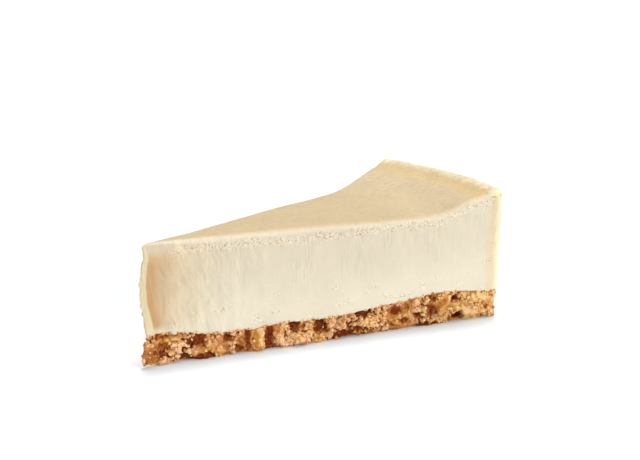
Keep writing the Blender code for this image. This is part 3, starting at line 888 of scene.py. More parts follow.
def cut_marks(along, side, z, below, up, sizes):
    """How far the points of both cuts move out or in, and how strongly they are pitted."""
    pitted = pitted_areas(along, side, z, below, up)
    lines = sizes.line_depth * knife_lines(along, side, z)
    lines = lines * smooth_step(*LINES_FROM_FOOT, up) * smooth_step(*LINES_FROM_TIP, along)
    smears = SMEAR_DEPTH * bumps(along, side, SMEAR_UPRIGHT * z, SMEAR_SIZE)
    smears = smears * smooth_step(*SMEARS_FROM_TIP, along) * smooth_step(*SMEARS_TO, along)
    bent = along + TEAR_SLANT * z + TEAR_SIZE * bumps(along, side, z, TEAR_BEND_SIZE)
    tears = TEAR_HEIGHT * np.abs(bumps(bent, side + 2.0, TEAR_UPRIGHT * z, TEAR_SIZE))
    tears = tears * smooth_step(*TEARS_FROM_TIP, along) * smooth_step(*TEARS_TO, along)
    pits = sizes.pit_depth * pit_shapes(along, side, z, PIT_SIZE, PIT_LEVEL)
    pits = pits * smooth_step(*PITS_FROM_WALL, CAKE_RADIUS - along)
    lip = sizes.lip_swell * bell(LIP_BELOW_TOP, LIP_WIDTH, below)
    return lines + smears + tears + lip, pits, pitted


def top_marks(along, across, from_wall, sizes):
    """How far the points of the top move up or down: brush wrinkles at the back, and slow waves."""
    back = smooth_step(*WRINKLES_FROM_WALL, from_wall) * smooth_step(*WRINKLES_OFF_RIM, from_wall)
    stroke = along * math.cos(STROKE_TURN) + across * math.sin(STROKE_TURN)
    beside = across * math.cos(STROKE_TURN) - along * math.sin(STROKE_TURN)
    wrinkles = bumps(stroke / WRINKLE_LENGTH_SHARE, beside, 0.0, WRINKLE_SIZE)
    waves = TOP_WAVE_HEIGHT * bumps(along, across, 2.0, TOP_WAVE_SIZE)
    return sizes.wrinkle_height * wrinkles * (WRINKLES_EVERYWHERE + back) + waves


def filling_marks(places, ways, sizes):
    """How far each point of the filling moves out or in, and how strongly it is pitted."""
    along, across, z, top, floor = places
    way_length, way_width, way_up = ways
    cut = way_width**2
    upper = np.clip(way_up, 0.0, 1.0) ** 2
    wall = np.clip(way_length, 0.0, 1.0) ** 2
    from_wall = CAKE_RADIUS - along
    up = np.clip((z - floor) / (top - floor), 0.0, 1.0)
    moved, pits, pitted = cut_marks(along, np.sign(way_width), z, top - z, up, sizes)
    pitted = pitted * cut
    moved = moved * cut - pits * smooth_step(*PITTED_RANGE, pitted)
    moved = moved + upper * top_marks(along, across, from_wall, sizes)
    rim = (upper + wall) * (1.0 - smooth_step(*RIM_REACH, from_wall))
    moved = moved + RIM_LUMP_HEIGHT * rim * bumps(along, across, z, RIM_LUMP_SIZE)
    moved = moved + WALL_MARK_HEIGHT * wall * bumps(along, across, z, WALL_MARK_SIZE)
    fin = FIN_FINE_RIPPLE * bell(0.0, FIN_FLARE_LENGTH, along - fin_edge(z))
    return moved + fin * bumps(along, across, z, FIN_FINE_RIPPLE_SIZE), pitted


def tip_shade_and_warmth(along, z):
    """Where the hollow beside the fin gets painted shade: strongest at the fin, fading up, down and away,
    with two faint warm patches added.
    """
    beyond = beyond_fin(along, z)
    width = HOLLOW_SHADE_WIDTH + HOLLOW_SHADE_WIDER * smooth_step(*HOLLOW_SHADE_WIDER_Z, z)
    shade_and_warmth = smooth_step(*HOLLOW_SHADE_START, beyond) * bell(0.0, width, beyond)
    shade_and_warmth = shade_and_warmth * smooth_step(*HOLLOW_SHADE_TOP_Z, z) * smooth_step(*HOLLOW_SHADE_FOOT_Z, z)
    shade_and_warmth = shade_and_warmth * (1.0 + HOLLOW_SHADE_LOW_MORE - HOLLOW_SHADE_LOW_MORE * smooth_step(*HOLLOW_SHADE_LOW_Z, z))
    streaks = bumps(along, 3.0, HOLLOW_SHADE_STREAK_UPRIGHT * z, HOLLOW_SHADE_STREAK_SIZE)
    shade_and_warmth = shade_and_warmth * (HOLLOW_SHADE_STREAK_MIDDLE + HOLLOW_SHADE_STREAK_SWING * streaks)
    for strength, start, end, low, high in WARM_PATCHES:
        shade_and_warmth = shade_and_warmth + strength * smooth_step(start, end, along) * smooth_step(low, high, z)
    return HOLLOW_SHADE_STRENGTH * np.clip(shade_and_warmth, 0.0, 1.0)


def top_areas(along, across, upper):
    """Where each finish of the baked top lies, from 0 to 1, by its name in the material."""
    from_wall = CAKE_RADIUS - along
    half = half_width(along)
    near_tip = smooth_step(BAKED_TIP_REACH, 0.0, along)
    start, end = [reach + less * near_tip for reach, less in zip(BAKED_FROM_NEAR_CUT, BAKED_LESS_AT_TIP)]
    baked = smooth_step(start, end, half + across)
    baked = np.minimum(baked, smooth_step(*BAKED_FROM_FAR_CUT, half - across))
    crest = from_wall + CREST_WAVE * bumps(along, across, 4.0, CREST_WAVE_SIZE)
    patches = CREST_PATCH_MIDDLE + CREST_PATCH_SWING * bumps(along, across, 8.0, CREST_PATCH_SIZE)
    crest = smooth_step(*CREST_REACH, crest) * patches
    return {
        "baked": baked * smooth_step(*BAKED_TURN, upper),
        "lip": smooth_step(*LIP_TURN, upper),
        "crest": np.clip(crest, 0.0, 1.0) * smooth_step(*CREST_TURN, upper),
        "valley": bell(VALLEY_FROM_WALL, VALLEY_TINT_WIDTH, from_wall) * upper,
        "back": smooth_step(*BACK_REACH, from_wall) * upper,
    }


def side_areas(places, ways):
    """Where each finish of the cuts and the wall lies, and the painted shade in the tip hollow, from 0 to 1,
    by its name in the material.
    """
    along, across, z, top, floor = places
    way_length, way_width, _ = ways
    from_wall = CAKE_RADIUS - along
    cut = np.abs(way_width)
    strip = from_wall + WALL_STRIP_WAVE * bumps(along, across, z, WALL_STRIP_WAVE_SIZE)
    strip = smooth_step(*WALL_STRIP_REACH, strip) * smooth_step(*WALL_STRIP_TURN, cut)
    rind = from_wall + RIND_WAVE * bumps(along, across, z, RIND_WAVE_SIZE)
    rind = RIND_STRENGTH * smooth_step(*RIND_REACH, rind) * cut
    tan = smooth_step(*TAN_FROM_TIP, along + TAN_WAVE * bumps(along, 9.0, z, TAN_WAVE_SIZE))
    tan = TAN_STRENGTH * tan * smooth_step(*TAN_TOP_Z, z) * smooth_step(*TAN_FOOT_Z, z)
    smear = bumps(along, 6.0, PALE_SMEAR_UPRIGHT * z, PALE_SMEAR_SIZE)
    smear = smear * (1.0 - smooth_step(*PALE_SMEAR_END, along))
    smear = smear + PALE_AT_WALL * smooth_step(*PALE_AT_WALL_ALONG, along)
    return {
        "wall": np.maximum(strip, smooth_step(*WALL_TURN, way_length)),
        "rind": np.maximum(rind, tan),
        "up": np.clip((z - floor) / (top - floor), 0.0, 1.0),
        "smear": smear * cut,
        # hollow: painted shade beside the fin, on the near cut
        "hollow": tip_shade_and_warmth(along, z) * smooth_step(*NEAR_CUT_TURN, -way_width),
        "fin": smooth_step(*FIN_TINT_REACH, beyond_fin(along, z)),
    }


def ragged_drop(places, ways):
    """How far the filling's lower edge hangs over the crumb, unevenly and more at the tip."""
    along, _, z, _, floor = places
    ragged = np.clip(bumps(along, 7.0 * np.sign(ways[1]), 0.0, RAGGED_SIZE), RAGGED_LEAST, 1.0)
    height = between(RAGGED_HEIGHT, RAGGED_TIP_HEIGHT, smooth_step(RAGGED_TIP_REACH, 0.0, along))
    drop = 0.5 * LAYER_GAP + height * ragged * smooth_step(*RAGGED_TURN, np.abs(ways[:2]).max(axis=0))
    return drop * bell(0.0, RAGGED_REACH, z - floor)


def make_filling_piece(sizes):
    """The filling as one fine closed mesh."""
    shares, faces = block_surface([stretch_cuts(stretches) for stretches in BLOCK_STRETCHES])
    points, places, ways = filling_form(shares)
    item = mesh_object("baked_filling", points, faces)
    moved, pitted = filling_marks(places, ways, sizes)
    points = points + mesh_normals(item.data) * moved[:, None]
    points[:, 2] -= ragged_drop(places, ways)
    set_points(item.data, points)
    top = top_areas(places[0], places[1], np.clip(ways[2], 0.0, 1.0))
    for name, values in {**top, **side_areas(places, ways), "pitted": pitted}.items():
        keep_values(item.data, name, values)
    underside = (shares[2] == 0.0) & (np.abs(ways[:2]).max(axis=0) < UNDERSIDE_TURN)
    thin_hidden(item, underside, UNDERSIDE_FACES_SHARE)
    item.data.shade_smooth()
    return item


def cell_grains(points, size):
    """A surface packed with rounded grains: 0 in the gaps and 1 on the grains' tops."""
    heights = []
    for point in points / size:
        gaps = noise.voronoi(Vector(point))[0]
        heights.append(min(1.0, gaps[1] - gaps[0]))
    return np.array(heights)


def from_axis(points):
    """How far each point lies from the cake's axis, seen from above."""
    return np.hypot(points[:, 0] - CAKE_AXIS_X, points[:, 1])


def inside_way(points):
    """How far each point lies inside the slice's outline, seen from above."""
    straight = points[:, 0] - CAKE_AXIS_X
    cut_gap = straight * math.sin(HALF_ANGLE) - np.abs(points[:, 1]) * math.cos(HALF_ANGLE)
    return np.minimum(cut_gap, CAKE_RADIUS - from_axis(points))


def outward_from_axis(points):
    """The level way from the cake's axis to each point, as rows of length 1."""
    level = np.stack([points[:, 0] - CAKE_AXIS_X, points[:, 1], np.zeros(len(points))], axis=-1)
    return level / np.maximum(np.linalg.norm(level, axis=1), LEAST_WAY)[:, None]


def with_shallow_hollows(points):
    """The points with the deep hollows of both cuts brought out, so that clumps fill them partly."""
    inside = inside_way(points)
    from_wall = CAKE_RADIUS - from_axis(points)
    shift = HOLLOW_FILL * np.clip(inside - HOLLOW_KEPT, 0.0, HOLLOW_FILL_REACH)
    shift = shift * smooth_step(HOLLOW_FILL_END, HOLLOW_KEPT + HOLLOW_FILL_REACH, inside)
    shift = shift * smooth_step(0.0, HOLLOW_FILL_EASE, np.abs(points[:, 1]))
    shift = shift * smooth_step(0.0, HOLLOW_FILL_EASE, from_wall - inside)
    moved = points.copy()
    moved[:, 0] -= shift * math.sin(HALF_ANGLE)
    moved[:, 1] += shift * math.cos(HALF_ANGLE) * np.sign(points[:, 1])
    out = WALL_FILL * np.clip(from_wall - WALL_HOLLOW_KEPT, 0.0, WALL_FILL_REACH)
    out = out * smooth_step(WALL_FILL_END, WALL_HOLLOW_KEPT + WALL_FILL_REACH, from_wall)
    return moved + out[:, None] * outward_from_axis(points)


def smoothed(points, edges, steps):
    """The points after each is moved many times to the middle of its neighbours."""
    count = np.bincount(edges.ravel(), minlength=len(points))[:, None]
    for _ in range(steps):
        total = np.zeros_like(points)
        for axis in range(3):
            total[:, axis] = np.bincount(edges[:, 0], points[edges[:, 1], axis], len(points))
            total[:, axis] += np.bincount(edges[:, 1], points[edges[:, 0], axis], len(points))
        points = total / np.maximum(count, 1)
    return points


def spot_strength(points, spots):
    """How strongly each point lies in the given spots of the near cut: 0 to 1."""
    along = from_axis(points)
    warp = bumps(*points.T, SPOT_WARP_SIZE) + FINER_WARP_WEIGHT * bumps(*points.T, FINER_WARP_SIZE)
    warp = SPOT_WARP * warp
    strength = np.zeros(len(points))
    for place, height, length, reach in spots:
        way = np.hypot((along - place) / length, (points[:, 2] - height) / reach) + warp
        strength = np.maximum(strength, 1.0 - smooth_step(*SPOT_EDGE, way))
    beyond = points[:, 1] - TIP_SIDE * smooth_step(TIP_SIDE_REACH, 0.0, along)
    return strength * smooth_step(NEAR_SIDE_EASE, -NEAR_SIDE_EASE, beyond)


def crumb_areas(points):
    """How dark (painted shade in the dark spots), how pale and how rough the crumb is at each point, from 0
    to 1.
    """
    dark = spot_strength(points, DARK_SPOTS)
    pale = spot_strength(points, PALE_SPOTS)
    rough = smooth_step(*ROUGH_RANGE, bumps(*points.T, SMOOTH_PATCH_SIZE))
    rough = between(*ROUGH_OFF_AND_ON_PATCHES, rough) * (1.0 - DARK_SPOT_SMOOTHER * dark)
    rough = rough * (1.0 - SMOOTH_SPOT_SMOOTHER * spot_strength(points, SMOOTH_SPOTS))
    rough = rough * (1.0 - WALL_SMOOTHER * smooth_step(*WALL_PART, from_axis(points)))
    return dark, pale, rough


def crumb_heights(points, dark, rough):
    """How far the crumb's surface moves out at each point."""
    crags = bumps(*points.T, CRAG_SIZE)
    warp = [bumps(*(points.T + shift * CLUMP_SIZE), CLUMP_SIZE) for shift in CLUMP_WARP_SHIFTS]
    warped = points + CLUMP_WARP * CLUMP_SIZE * np.stack(warp, axis=-1)
    clumps = np.sqrt(cell_grains(warped, CLUMP_SIZE))
    lumps = cell_grains(warped, LUMP_SIZE)
    grains = cell_grains(points, GRAIN_CELL_SIZE)
    moved = CRAG_HEIGHT * crags * between(*CRAGS_ON_SMOOTH_AND_ROUGH, rough)
    moved = moved + CLUMP_HEIGHT * rough * (clumps - CLUMP_LEVEL)
    moved = moved + LUMP_HEIGHT * rough * (lumps - LUMP_LEVEL)
    moved = moved + GRAIN_CELL_HEIGHT * rough * (grains - GRAIN_CELL_LEVEL)
    return moved - DARK_SPOT_DEPTH * dark


def golden(points):
    """How golden rather than pink the crumb is: in patches, on the slab and towards the wall."""
    along = from_axis(points)
    patches = smooth_step(*GOLD_RANGE, bumps(*(points.T + GOLD_PATCH_SHIFT), GOLD_PATCH_SIZE))
    slab = bell(SLAB_PLACE, SLAB_TINT_WIDTH, along)
    at_wall = smooth_step(*GOLD_AT_WALL_ALONG, along)
    return np.clip(GOLD_STRENGTH * patches + slab + GOLD_STRENGTH * at_wall, 0.0, 1.0)


def foot_lift(points, along, inside):
    """How far the foot of both cuts is lifted off the floor where crumbs have broken away."""
    notched = np.zeros(len(points))
    for place, length in FOOT_NOTCHES:
        notched = np.maximum(notched, bell(place, length, along))
    low = smooth_step(FOOT_LIFT_Z, 0.0, points[:, 2])
    return FOOT_LIFT * notched * smooth_step(FOOT_LIFT_INSIDE, 0.0, inside) * low


def crumb_moves(points, dark, rough):
    """How far the crumb's surface moves: less at the wall, and cut away at the foot."""
    moved = crumb_heights(points, dark, rough)
    z = points[:, 2]
    from_wall = CAKE_RADIUS - from_axis(points)
    moved = moved * (1.0 - WALL_CALM_SHARE * smooth_step(WALL_CALM_REACH, 0.5 * WALL_CALM_REACH, from_wall))
    low = smooth_step(FOOT_HEIGHT, 0.0, z)
    moved = np.where(moved > 0.0, moved * (1.0 - low), moved)
    moved = moved - TIP_CUT * smooth_step(*TIP_CUT_FROM_WALL, from_wall) * smooth_step(*TIP_CUT_Z, z)
    tip = smooth_step(TIP_BULGE_ALONG, 0.0, points[:, 0] - CAKE_AXIS_X)
    moved = moved + TIP_BULGE * tip * bell(TIP_BULGE_Z, TIP_BULGE_REACH, z)
    cut = FOOT_CUT * smooth_step(*FOOT_CUT_RANGE, bumps(*points.T, CRAG_SIZE)) * low
    cut = cut * smooth_step(*FOOT_CUT_OFF_WALL, from_wall) * smooth_step(*FOOT_CUT_OFF_TIP, from_wall)
    return moved - cut


def flat_smoothed(points, edges, steps):
    """The points smoothed sideways only, so that heights stay."""
    calm = smoothed(points, edges, steps)
    calm[:, 2] = points[:, 2]
    return calm


def fine_base():
    """A copy of the part's crumb base with a much finer surface."""
    item = bpy.data.objects.new("pressed_crumb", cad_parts[BASE_NODE].data.copy())
    item.data.materials.clear()
    bpy.context.scene.collection.objects.link(item)
    finer = item.modifiers.new("Fine mesh", "REMESH")
    finer.mode = "VOXEL"
    finer.voxel_size = BASE_VOXEL
    apply_modifiers(item)
    return item


def how_proud(mesh, points, edges):
    """How far each point stands out from the mesh's surface with its clumps smoothed away."""
    calm = smoothed(points, edges, HOLLOW_SMOOTHING_STEPS)
    set_points(mesh, calm)
    facing = mesh_normals(mesh)
    set_points(mesh, points)
    return ((points - calm) * facing).sum(axis=1)


def crumb_tone(along, patches, proud, rough):
    """How light the crumb is: painted highlight where it stands out, painted shade in the gaps, and uneven.
    """
    tops = smooth_step(*PROUD_RANGE, proud) - PROUD_MIDDLE
    tone = MIDDLE_TONE + PATCH_TONE * patches + tops * (PROUD_TONE + PROUD_TONE_ROUGH * rough)
    return tone + np.interp(along, *np.transpose(CRUMB_TONES))


def make_base_piece():
    """The crumb base as one fine closed mesh, made from the part's own solid."""
    item = fine_base()
    mesh = item.data
    edges = read_rows(mesh.edges, "vertices", 2, np.int32)
    points = flat_smoothed(with_shallow_hollows(mesh_points(mesh)), edges, FACET_SMOOTHING_STEPS)
    set_points(mesh, points)
    inside = inside_way(points)
    shown = inside < BASE_INSIDE
    dark, pale, rough, moved, patches, breaks = np.zeros((6, len(points)))
    dark[shown], pale[shown], rough[shown] = crumb_areas(points[shown])
    moved[shown] = crumb_moves(points[shown], dark[shown], rough[shown])
    moved = moved * (1.0 - smooth_step(BASE_FADE, BASE_INSIDE, inside))
    patches[shown] = bumps(*(points[shown].T + PATCH_TONE_SHIFT), CRAG_SIZE)
    ways = mesh_normals(mesh)
    ways[:, 2] = 0.0
    along = from_axis(points)
    share = points[:, 2] / layer_height(along, points[:, 1])
    points = points + ways * moved[:, None]
    points[:, 2] += LAYER_GAP * smooth_step(*LAYER_TOP_SHARE, share) + foot_lift(points, along, inside)
    points[:, 2] = np.maximum(points[:, 2], 0.0)
    set_points(mesh, points)

    breaks[shown] = bumps(*points[shown].T, DARK_BREAK_SIZE)
    # The tone puts painted shade in the gaps and the dark spots, and painted highlight on what stands out
    tone = crumb_tone(along, patches, how_proud(mesh, points, edges), rough)
    tone = tone - DARK_SPOT_TONE * dark * (1.0 + DARK_BREAKS * breaks) + PALE_SPOT_TONE * pale
    keep_values(mesh, "proud", np.clip(tone, *TONE_LIMITS))
    keep_values(mesh, "rough", rough * (1.0 - DARK_SPOT_BARE * dark))
    keep_values(mesh, "gold", golden(points))
    # deep: painted shade that darkens the crumb further inside the slice's outline, in its crevices
    keep_values(mesh, "deep", smooth_step(*DEEP_INSIDE, inside_way(points)))
    thin_hidden(item, ~shown, INSIDE_FACES_SHARE)
    item.data.shade_smooth()
    return item


def face_facts(mesh):
    """The middles, normals and areas of a mesh's faces."""
    middles = read_rows(mesh.polygons, "center").astype(float)
    return middles, read_rows(mesh.polygons, "normal").astype(float), read_values(mesh.polygons, "area")


def face_values(mesh, name):
    """A stored value of a mesh at the first corner of each of its faces."""
    corners, starts = first_corners(mesh)
    return read_values(mesh.attributes[name].data, "value")[corners[starts]]


def grain_places(mesh, count, draw):
    """Places for grains on the clumps of the base, with the way the surface faces there."""
    middles, normals, areas = face_facts(mesh)
    inside = inside_way(middles)
    near = inside < GRAINS_INSIDE
    weight = areas * near * (np.abs(normals[:, 2]) < GRAINS_STEEPEST) * (middles[:, 2] > GRAINS_LOWEST)
    patches = np.zeros(len(areas))
    patches[near] = bumps(*middles[near].T, SMOOTH_PATCH_SIZE)
    weight = weight * (GRAINS_OFF_PATCHES + smooth_step(*GRAIN_PATCHES, patches))
    weight = weight * (GRAINS_ON_SMOOTH + face_values(mesh, "rough"))
    weight = weight * (GRAINS_ON_DARK + smooth_step(*GRAIN_TONES, face_values(mesh, "proud")))
    weight = weight * (GRAINS_AT_FACE - smooth_step(*GRAINS_FADE_INSIDE, inside))
    along = from_axis(middles)
    weight = weight * (1.0 - WALL_GRAINS_FEWER * smooth_step(*WALL_PART, along))
    weight = weight * (1.0 - SLAB_BARE * bell(SLAB_PLACE, SLAB_BARE_WIDTH, along) * (middles[:, 1] < 0.0))
    picked = draw.choice(len(areas), size=count, p=weight / weight.sum())
    return middles[picked], normals[picked]


def line_places(mesh, count, draw):
    """Places for crumbs on the lower edge of the filling, with the way its surface faces there."""
    middles, normals, areas = face_facts(mesh)
    along = from_axis(middles)
    above = middles[:, 2] - layer_height(along, middles[:, 1])
    weight = areas * (above > LINE_CRUMB_LOW) * (np.abs(normals[:, 2]) < LINE_CRUMB_STEEPEST)
    weight = weight * (CAKE_RADIUS - along > LINE_CRUMB_FROM_WALL)
    weight = weight * (1.0 - smooth_step(0.0, LINE_CRUMB_HIGH, above)) ** 2
    picked = draw.choice(len(areas), size=count, p=weight / weight.sum())
    spread = draw.uniform(-0.5, 0.5, size=(count, 3)) * np.sqrt(areas[picked])[:, None]
    spread -= (spread * normals[picked]).sum(axis=1, keepdims=True) * normals[picked]
    return middles[picked] + spread, normals[picked]


def random_turns(count, draw):
    """Turns any way, one for each grain."""
    four = draw.normal(size=(count, 4))
    w, x, y, z = (four / np.linalg.norm(four, axis=1, keepdims=True)).T
    rows = [
        [1 - 2 * (y * y + z * z), 2 * (x * y - z * w), 2 * (x * z + y * w)],
        [2 * (x * y + z * w), 1 - 2 * (x * x + z * z), 2 * (y * z - x * w)],
        [2 * (x * z - y * w), 2 * (y * z + x * w), 1 - 2 * (x * x + y * y)],
    ]
    return np.array(rows).transpose(2, 0, 1)


def ball_shape():
    """Points and faces of a ball of 20 triangles with a radius of 1."""
    ball = bmesh.new()
    bmesh.ops.create_icosphere(ball, subdivisions=1, radius=1.0)
    points = np.array([vert.co[:] for vert in ball.verts])
    faces = np.array([[vert.index for vert in face.verts] for face in ball.faces])
    ball.free()
    return points, faces


def chip_cloud(name, places, ways, radii, draw):
    """One mesh of many small angular chips, each sunk partly into what it sticks to."""
    shape, shape_faces = ball_shape()
    count, corners = len(places), len(shape)
    stretch = draw.uniform(*GRAIN_STRETCH, size=(count, 1, 3))
    jitter = 1.0 + GRAIN_JITTER * draw.uniform(-1.0, 1.0, size=(count, corners, 1))
    local = shape[None] * jitter * stretch * radii[:, None, None]
    turned = np.einsum("nij,nvj->nvi", random_turns(count, draw), local)
    middles = places + ways * GRAIN_LIFT * radii[:, None]
    points = (turned + middles[:, None]).reshape(-1, 3)
    points[:, 2] = np.maximum(points[:, 2], 0.0)
    steps = np.arange(count)[:, None, None] * corners
    faces = (shape_faces[None] + steps).reshape(-1, 3)
    item = mesh_object(name, points, faces)
    bright = draw.random(count) < BRIGHT_GRAIN_SHARE
    tones = np.where(
        bright, draw.uniform(*BRIGHT_GRAIN_TONES, count), draw.uniform(*DULL_GRAIN_TONES, count))
    keep_values(item.data, "grain", np.repeat(tones, corners))
    # deep: painted shade on grains that lie in crevices
    keep_values(item.data, "deep", smooth_step(*GRAIN_DEEP_INSIDE, inside_way(points)))
    keep_values(item.data, "gold", np.repeat(golden(places), corners))
    return item


def make_grain_piece(base, filling, sizes):
    """The small grains on the sides of the base, and the crumbs along the line between the layers."""
    draw = np.random.default_rng(GRAIN_SEED)
    places, ways = grain_places(base.data, sizes.grain_count, draw)
    span = sizes.grain_most - sizes.grain_least
    radii = sizes.grain_least + span * draw.uniform(0.0, 1.0, len(places)) ** GRAIN_SIZE_POWER
    line, line_ways = line_places(filling.data, LINE_CRUMBS, draw)
    line_radii = draw.uniform(*LINE_CRUMB_RADII, LINE_CRUMBS)
    places, ways = np.concatenate([places, line]), np.concatenate([ways, line_ways])
    return chip_cloud("crumb_grains", places, ways, np.concatenate([radii, line_radii]), draw)


def set_input(tree, socket, value):
    """Sets an input of a node to a value, or links it to another node's output."""
    if isinstance(value, bpy.types.NodeSocket):
        tree.links.new(value, socket)
    elif socket.type == "RGBA":
        socket.default_value = (*value, 1.0)
    else:
        socket.default_value = value


def add_node(tree, kind, settings=None, **inputs):
    """Adds a node, with its settings, and its inputs set or linked."""
    made = tree.nodes.new(kind)
    for name, value in (settings or {}).items():
        setattr(made, name, value)
    for name, value in inputs.items():
        set_input(tree, made.inputs[name.replace("_", " ")], value)
    return made


def mix_colours(tree, share, first, second, way="MIX"):
    """The colour that goes from the first to the second as the share goes from 0 to 1."""
    made = tree.nodes.new("ShaderNodeMix")
    made.data_type = "RGBA"
    made.blend_type = way
    for place, value in ((0, share), (6, first), (7, second)):
        set_input(tree, made.inputs[place], value)
    return made.outputs[2]


def stored(tree, name):
    """The value that a mesh stores under a name."""
    made = add_node(tree, "ShaderNodeAttribute", {"attribute_name": name})
    return made.outputs["Fac"]


def ramp_value(tree, value, low, high, start=0.0, end=1.0):
    """A value taken from one range to another, and kept in it."""
    made = add_node(tree, "ShaderNodeMapRange", Value=value)
    for name, number in (("From Min", low), ("From Max", high), ("To Min", start), ("To Max", end)):
        made.inputs[name].default_value = number
    return made.outputs["Result"]


def put_together(tree, rule, first, *others):
    """Values put together one after another by one rule of arithmetic."""
    for value in others:
        made = add_node(tree, "ShaderNodeMath", {"operation": rule})
        set_input(tree, made.inputs[0], first)
        set_input(tree, made.inputs[1], value)
        first = made.outputs[0]
    return first


def times(tree, *values):
    """The values multiplied together."""
    return put_together(tree, "MULTIPLY", *values)


def plus(tree, *values):
    """The values added together."""
    return put_together(tree, "ADD", *values)


def grain_noise(tree, size, detail=2.0, stretch=(1.0, 1.0, 1.0), roughness=0.5, turn=0.0):
    """Noise with spots of the given size in metres, fixed to the object, turned and stretched."""
    place = tree.nodes.new("ShaderNodeTexCoord").outputs["Object"]
    turned = add_node(
        tree, "ShaderNodeMapping", {"vector_type": "TEXTURE"}, Vector=place,
        Rotation=(0.0, 0.0, turn), Scale=[1.0 / part for part in stretch])
    made = add_node(
        tree, "ShaderNodeTexNoise", Vector=turned.outputs[0],
        Scale=1.0 / size, Detail=detail, Roughness=roughness)
    return made.outputs["Fac"]


def new_material(name):
    """A material with a Principled shader: the material, its nodes and the shader."""
    material = bpy.data.materials.new(name)
    material.use_nodes = True
    return material, material.node_tree, material.node_tree.nodes["Principled BSDF"]


def set_shader(shader, finish):
    """Sets a shader's own values."""
    for name, value in finish.items():
        shader.inputs[name].default_value = value


def add_relief(tree, shader, height, depth):
    """Adds fine relief to a shader."""
    made = add_node(tree, "ShaderNodeBump", Height=height, Distance=depth, Strength=RELIEF_STRENGTH)
    tree.links.new(made.outputs[0], shader.inputs["Normal"])


def tone_about(tree, middle, size, swing, **kind):
    """Noise that swings evenly about a middle, to lighten and darken a colour."""
    value = grain_noise(tree, size, **kind)
    return ramp_value(tree, value, *NOISE_RANGE, middle - swing, middle + swing)


def filling_colour(tree, colours):
    """The filling's colours: the cut, painted lighter towards its foot as light bounced from the floor, the
    painted shade at the tip, the lip, the baked top, its rim and the wall.
    """
    # The cut goes from its lower colour to its upper one: the lower part is painted lighter, as light
    # bounced from the floor
    up = ramp_value(tree, stored(tree, "up"), *CUT_TONE_RAMP)
    colour = mix_colours(tree, up, colours.cut_low, colours.cut_high)
    colour = mix_colours(tree, stored(tree, "rind"), colour, colours.valley)
    # Painted shade in the hollow beside the fin
    colour = mix_colours(tree, stored(tree, "hollow"), colour, colours.hollow)
    colour = mix_colours(tree, stored(tree, "lip"), colour, colours.lip)
    top = mix_colours(tree, stored(tree, "back"), colours.top, colours.back)
    top = mix_colours(tree, stored(tree, "valley"), top, colours.valley)
    colour = mix_colours(tree, stored(tree, "baked"), colour, top)
    wall_low = [part * tint for part, tint in zip(colours.wall, WALL_LOW_TINT)]
    wall = mix_colours(tree, up, wall_low, colours.wall)
    colour = mix_colours(tree, stored(tree, "wall"), colour, wall)
    colour = mix_colours(tree, stored(tree, "crest"), colour, colours.crest)
    return mix_colours(tree, stored(tree, "fin"), colour, colours.fin)


def knife_streaks(tree):
    """Faint upright streaks in patches of the cuts, towards the top: about 0."""
    streaks = tone_about(tree, 0.0, size=0.0006, swing=0.080, detail=2.0, stretch=(1.0, 1.0, 0.10))
    high = ramp_value(tree, stored(tree, "up"), *STREAKS_HIGH_RAMP)
    off_wall = ramp_value(tree, stored(tree, "wall"), *STREAKS_OFF_WALL_RAMP)
    patches = grain_noise(tree, size=0.007, detail=2.0, stretch=(1.0, 1.0, 0.5))
    patches = ramp_value(tree, patches, *STREAK_PATCH_RAMP)
    return times(tree, streaks, times(tree, high, off_wall, patches))


def brush_strokes(tree):
    """Strokes in patches at the back of the baked top: about 0."""
    strokes = tone_about(
        tree, 0.0, size=0.0012, swing=0.14, detail=3.0, stretch=(0.35, 1.0, 1.0), roughness=0.6,
        turn=STROKE_TURN)
    patches = ramp_value(tree, grain_noise(tree, size=0.009, detail=2.0), *STROKE_PATCH_RAMP)
    return times(tree, strokes, times(tree, patches, stored(tree, "back")))


def filling_material(colours):
    """Pale baked cream: smooth and moist in the cut, satin and tan on the top."""
    material, tree, shader = new_material("Baked cream")
    streaks = knife_streaks(tree)
    specks = grain_noise(tree, size=0.00055, detail=2.0, roughness=0.6)
    strength = ramp_value(tree, stored(tree, "pitted"), *PITTED_RAMP)
    # Painted shade in the pits: the colour is darkened warm where the specks' relief sinks, in the pitted
    # areas
    pit_shade = ramp_value(tree, specks, *HOLE_RAMP)
    pit_shade = times(tree, pit_shade, ramp_value(tree, strength, *HOLE_STRENGTH_RAMP))
    colour = filling_colour(tree, colours)
    colour = mix_colours(tree, pit_shade, colour, mix_colours(tree, 1.0, colour, PIT_SHADE_TINT, "MULTIPLY"))
    tone = tone_about(tree, 1.0, size=0.014, swing=0.025, detail=3.0)
    tone = times(tree, tone, tone_about(tree, 1.0, size=0.0028, swing=0.018, detail=3.0))
    tone = plus(tree, tone, plus(tree, streaks, times(tree, plus(tree, specks, -SPECK_MIDDLE), strength)))
    tone = plus(tree, tone, times(tree, stored(tree, "smear"), SMEAR_TONE))
    mottle = tone_about(tree, 0.0, size=0.0016, swing=0.055, detail=4.0, roughness=0.6)
    tone = plus(tree, tone, brush_strokes(tree), times(tree, mottle, stored(tree, "baked")))
    tone = add_node(tree, "ShaderNodeCombineColor", Red=tone, Green=tone, Blue=tone).outputs[0]
    tree.links.new(mix_colours(tree, 1.0, colour, tone, "MULTIPLY"), shader.inputs["Base Color"])

    rough = ramp_value(tree, grain_noise(tree, size=0.004, detail=3.0), *NOISE_RANGE, *CREAM_ROUGHNESS)
    tree.links.new(rough, shader.inputs["Roughness"])
    set_shader(shader, FILLING_FINISH)
    relief = plus(tree, times(tree, specks, strength), times(tree, streaks, STREAK_RELIEF))
    add_relief(tree, shader, relief, FILLING_RELIEF_DEPTH)
    return material


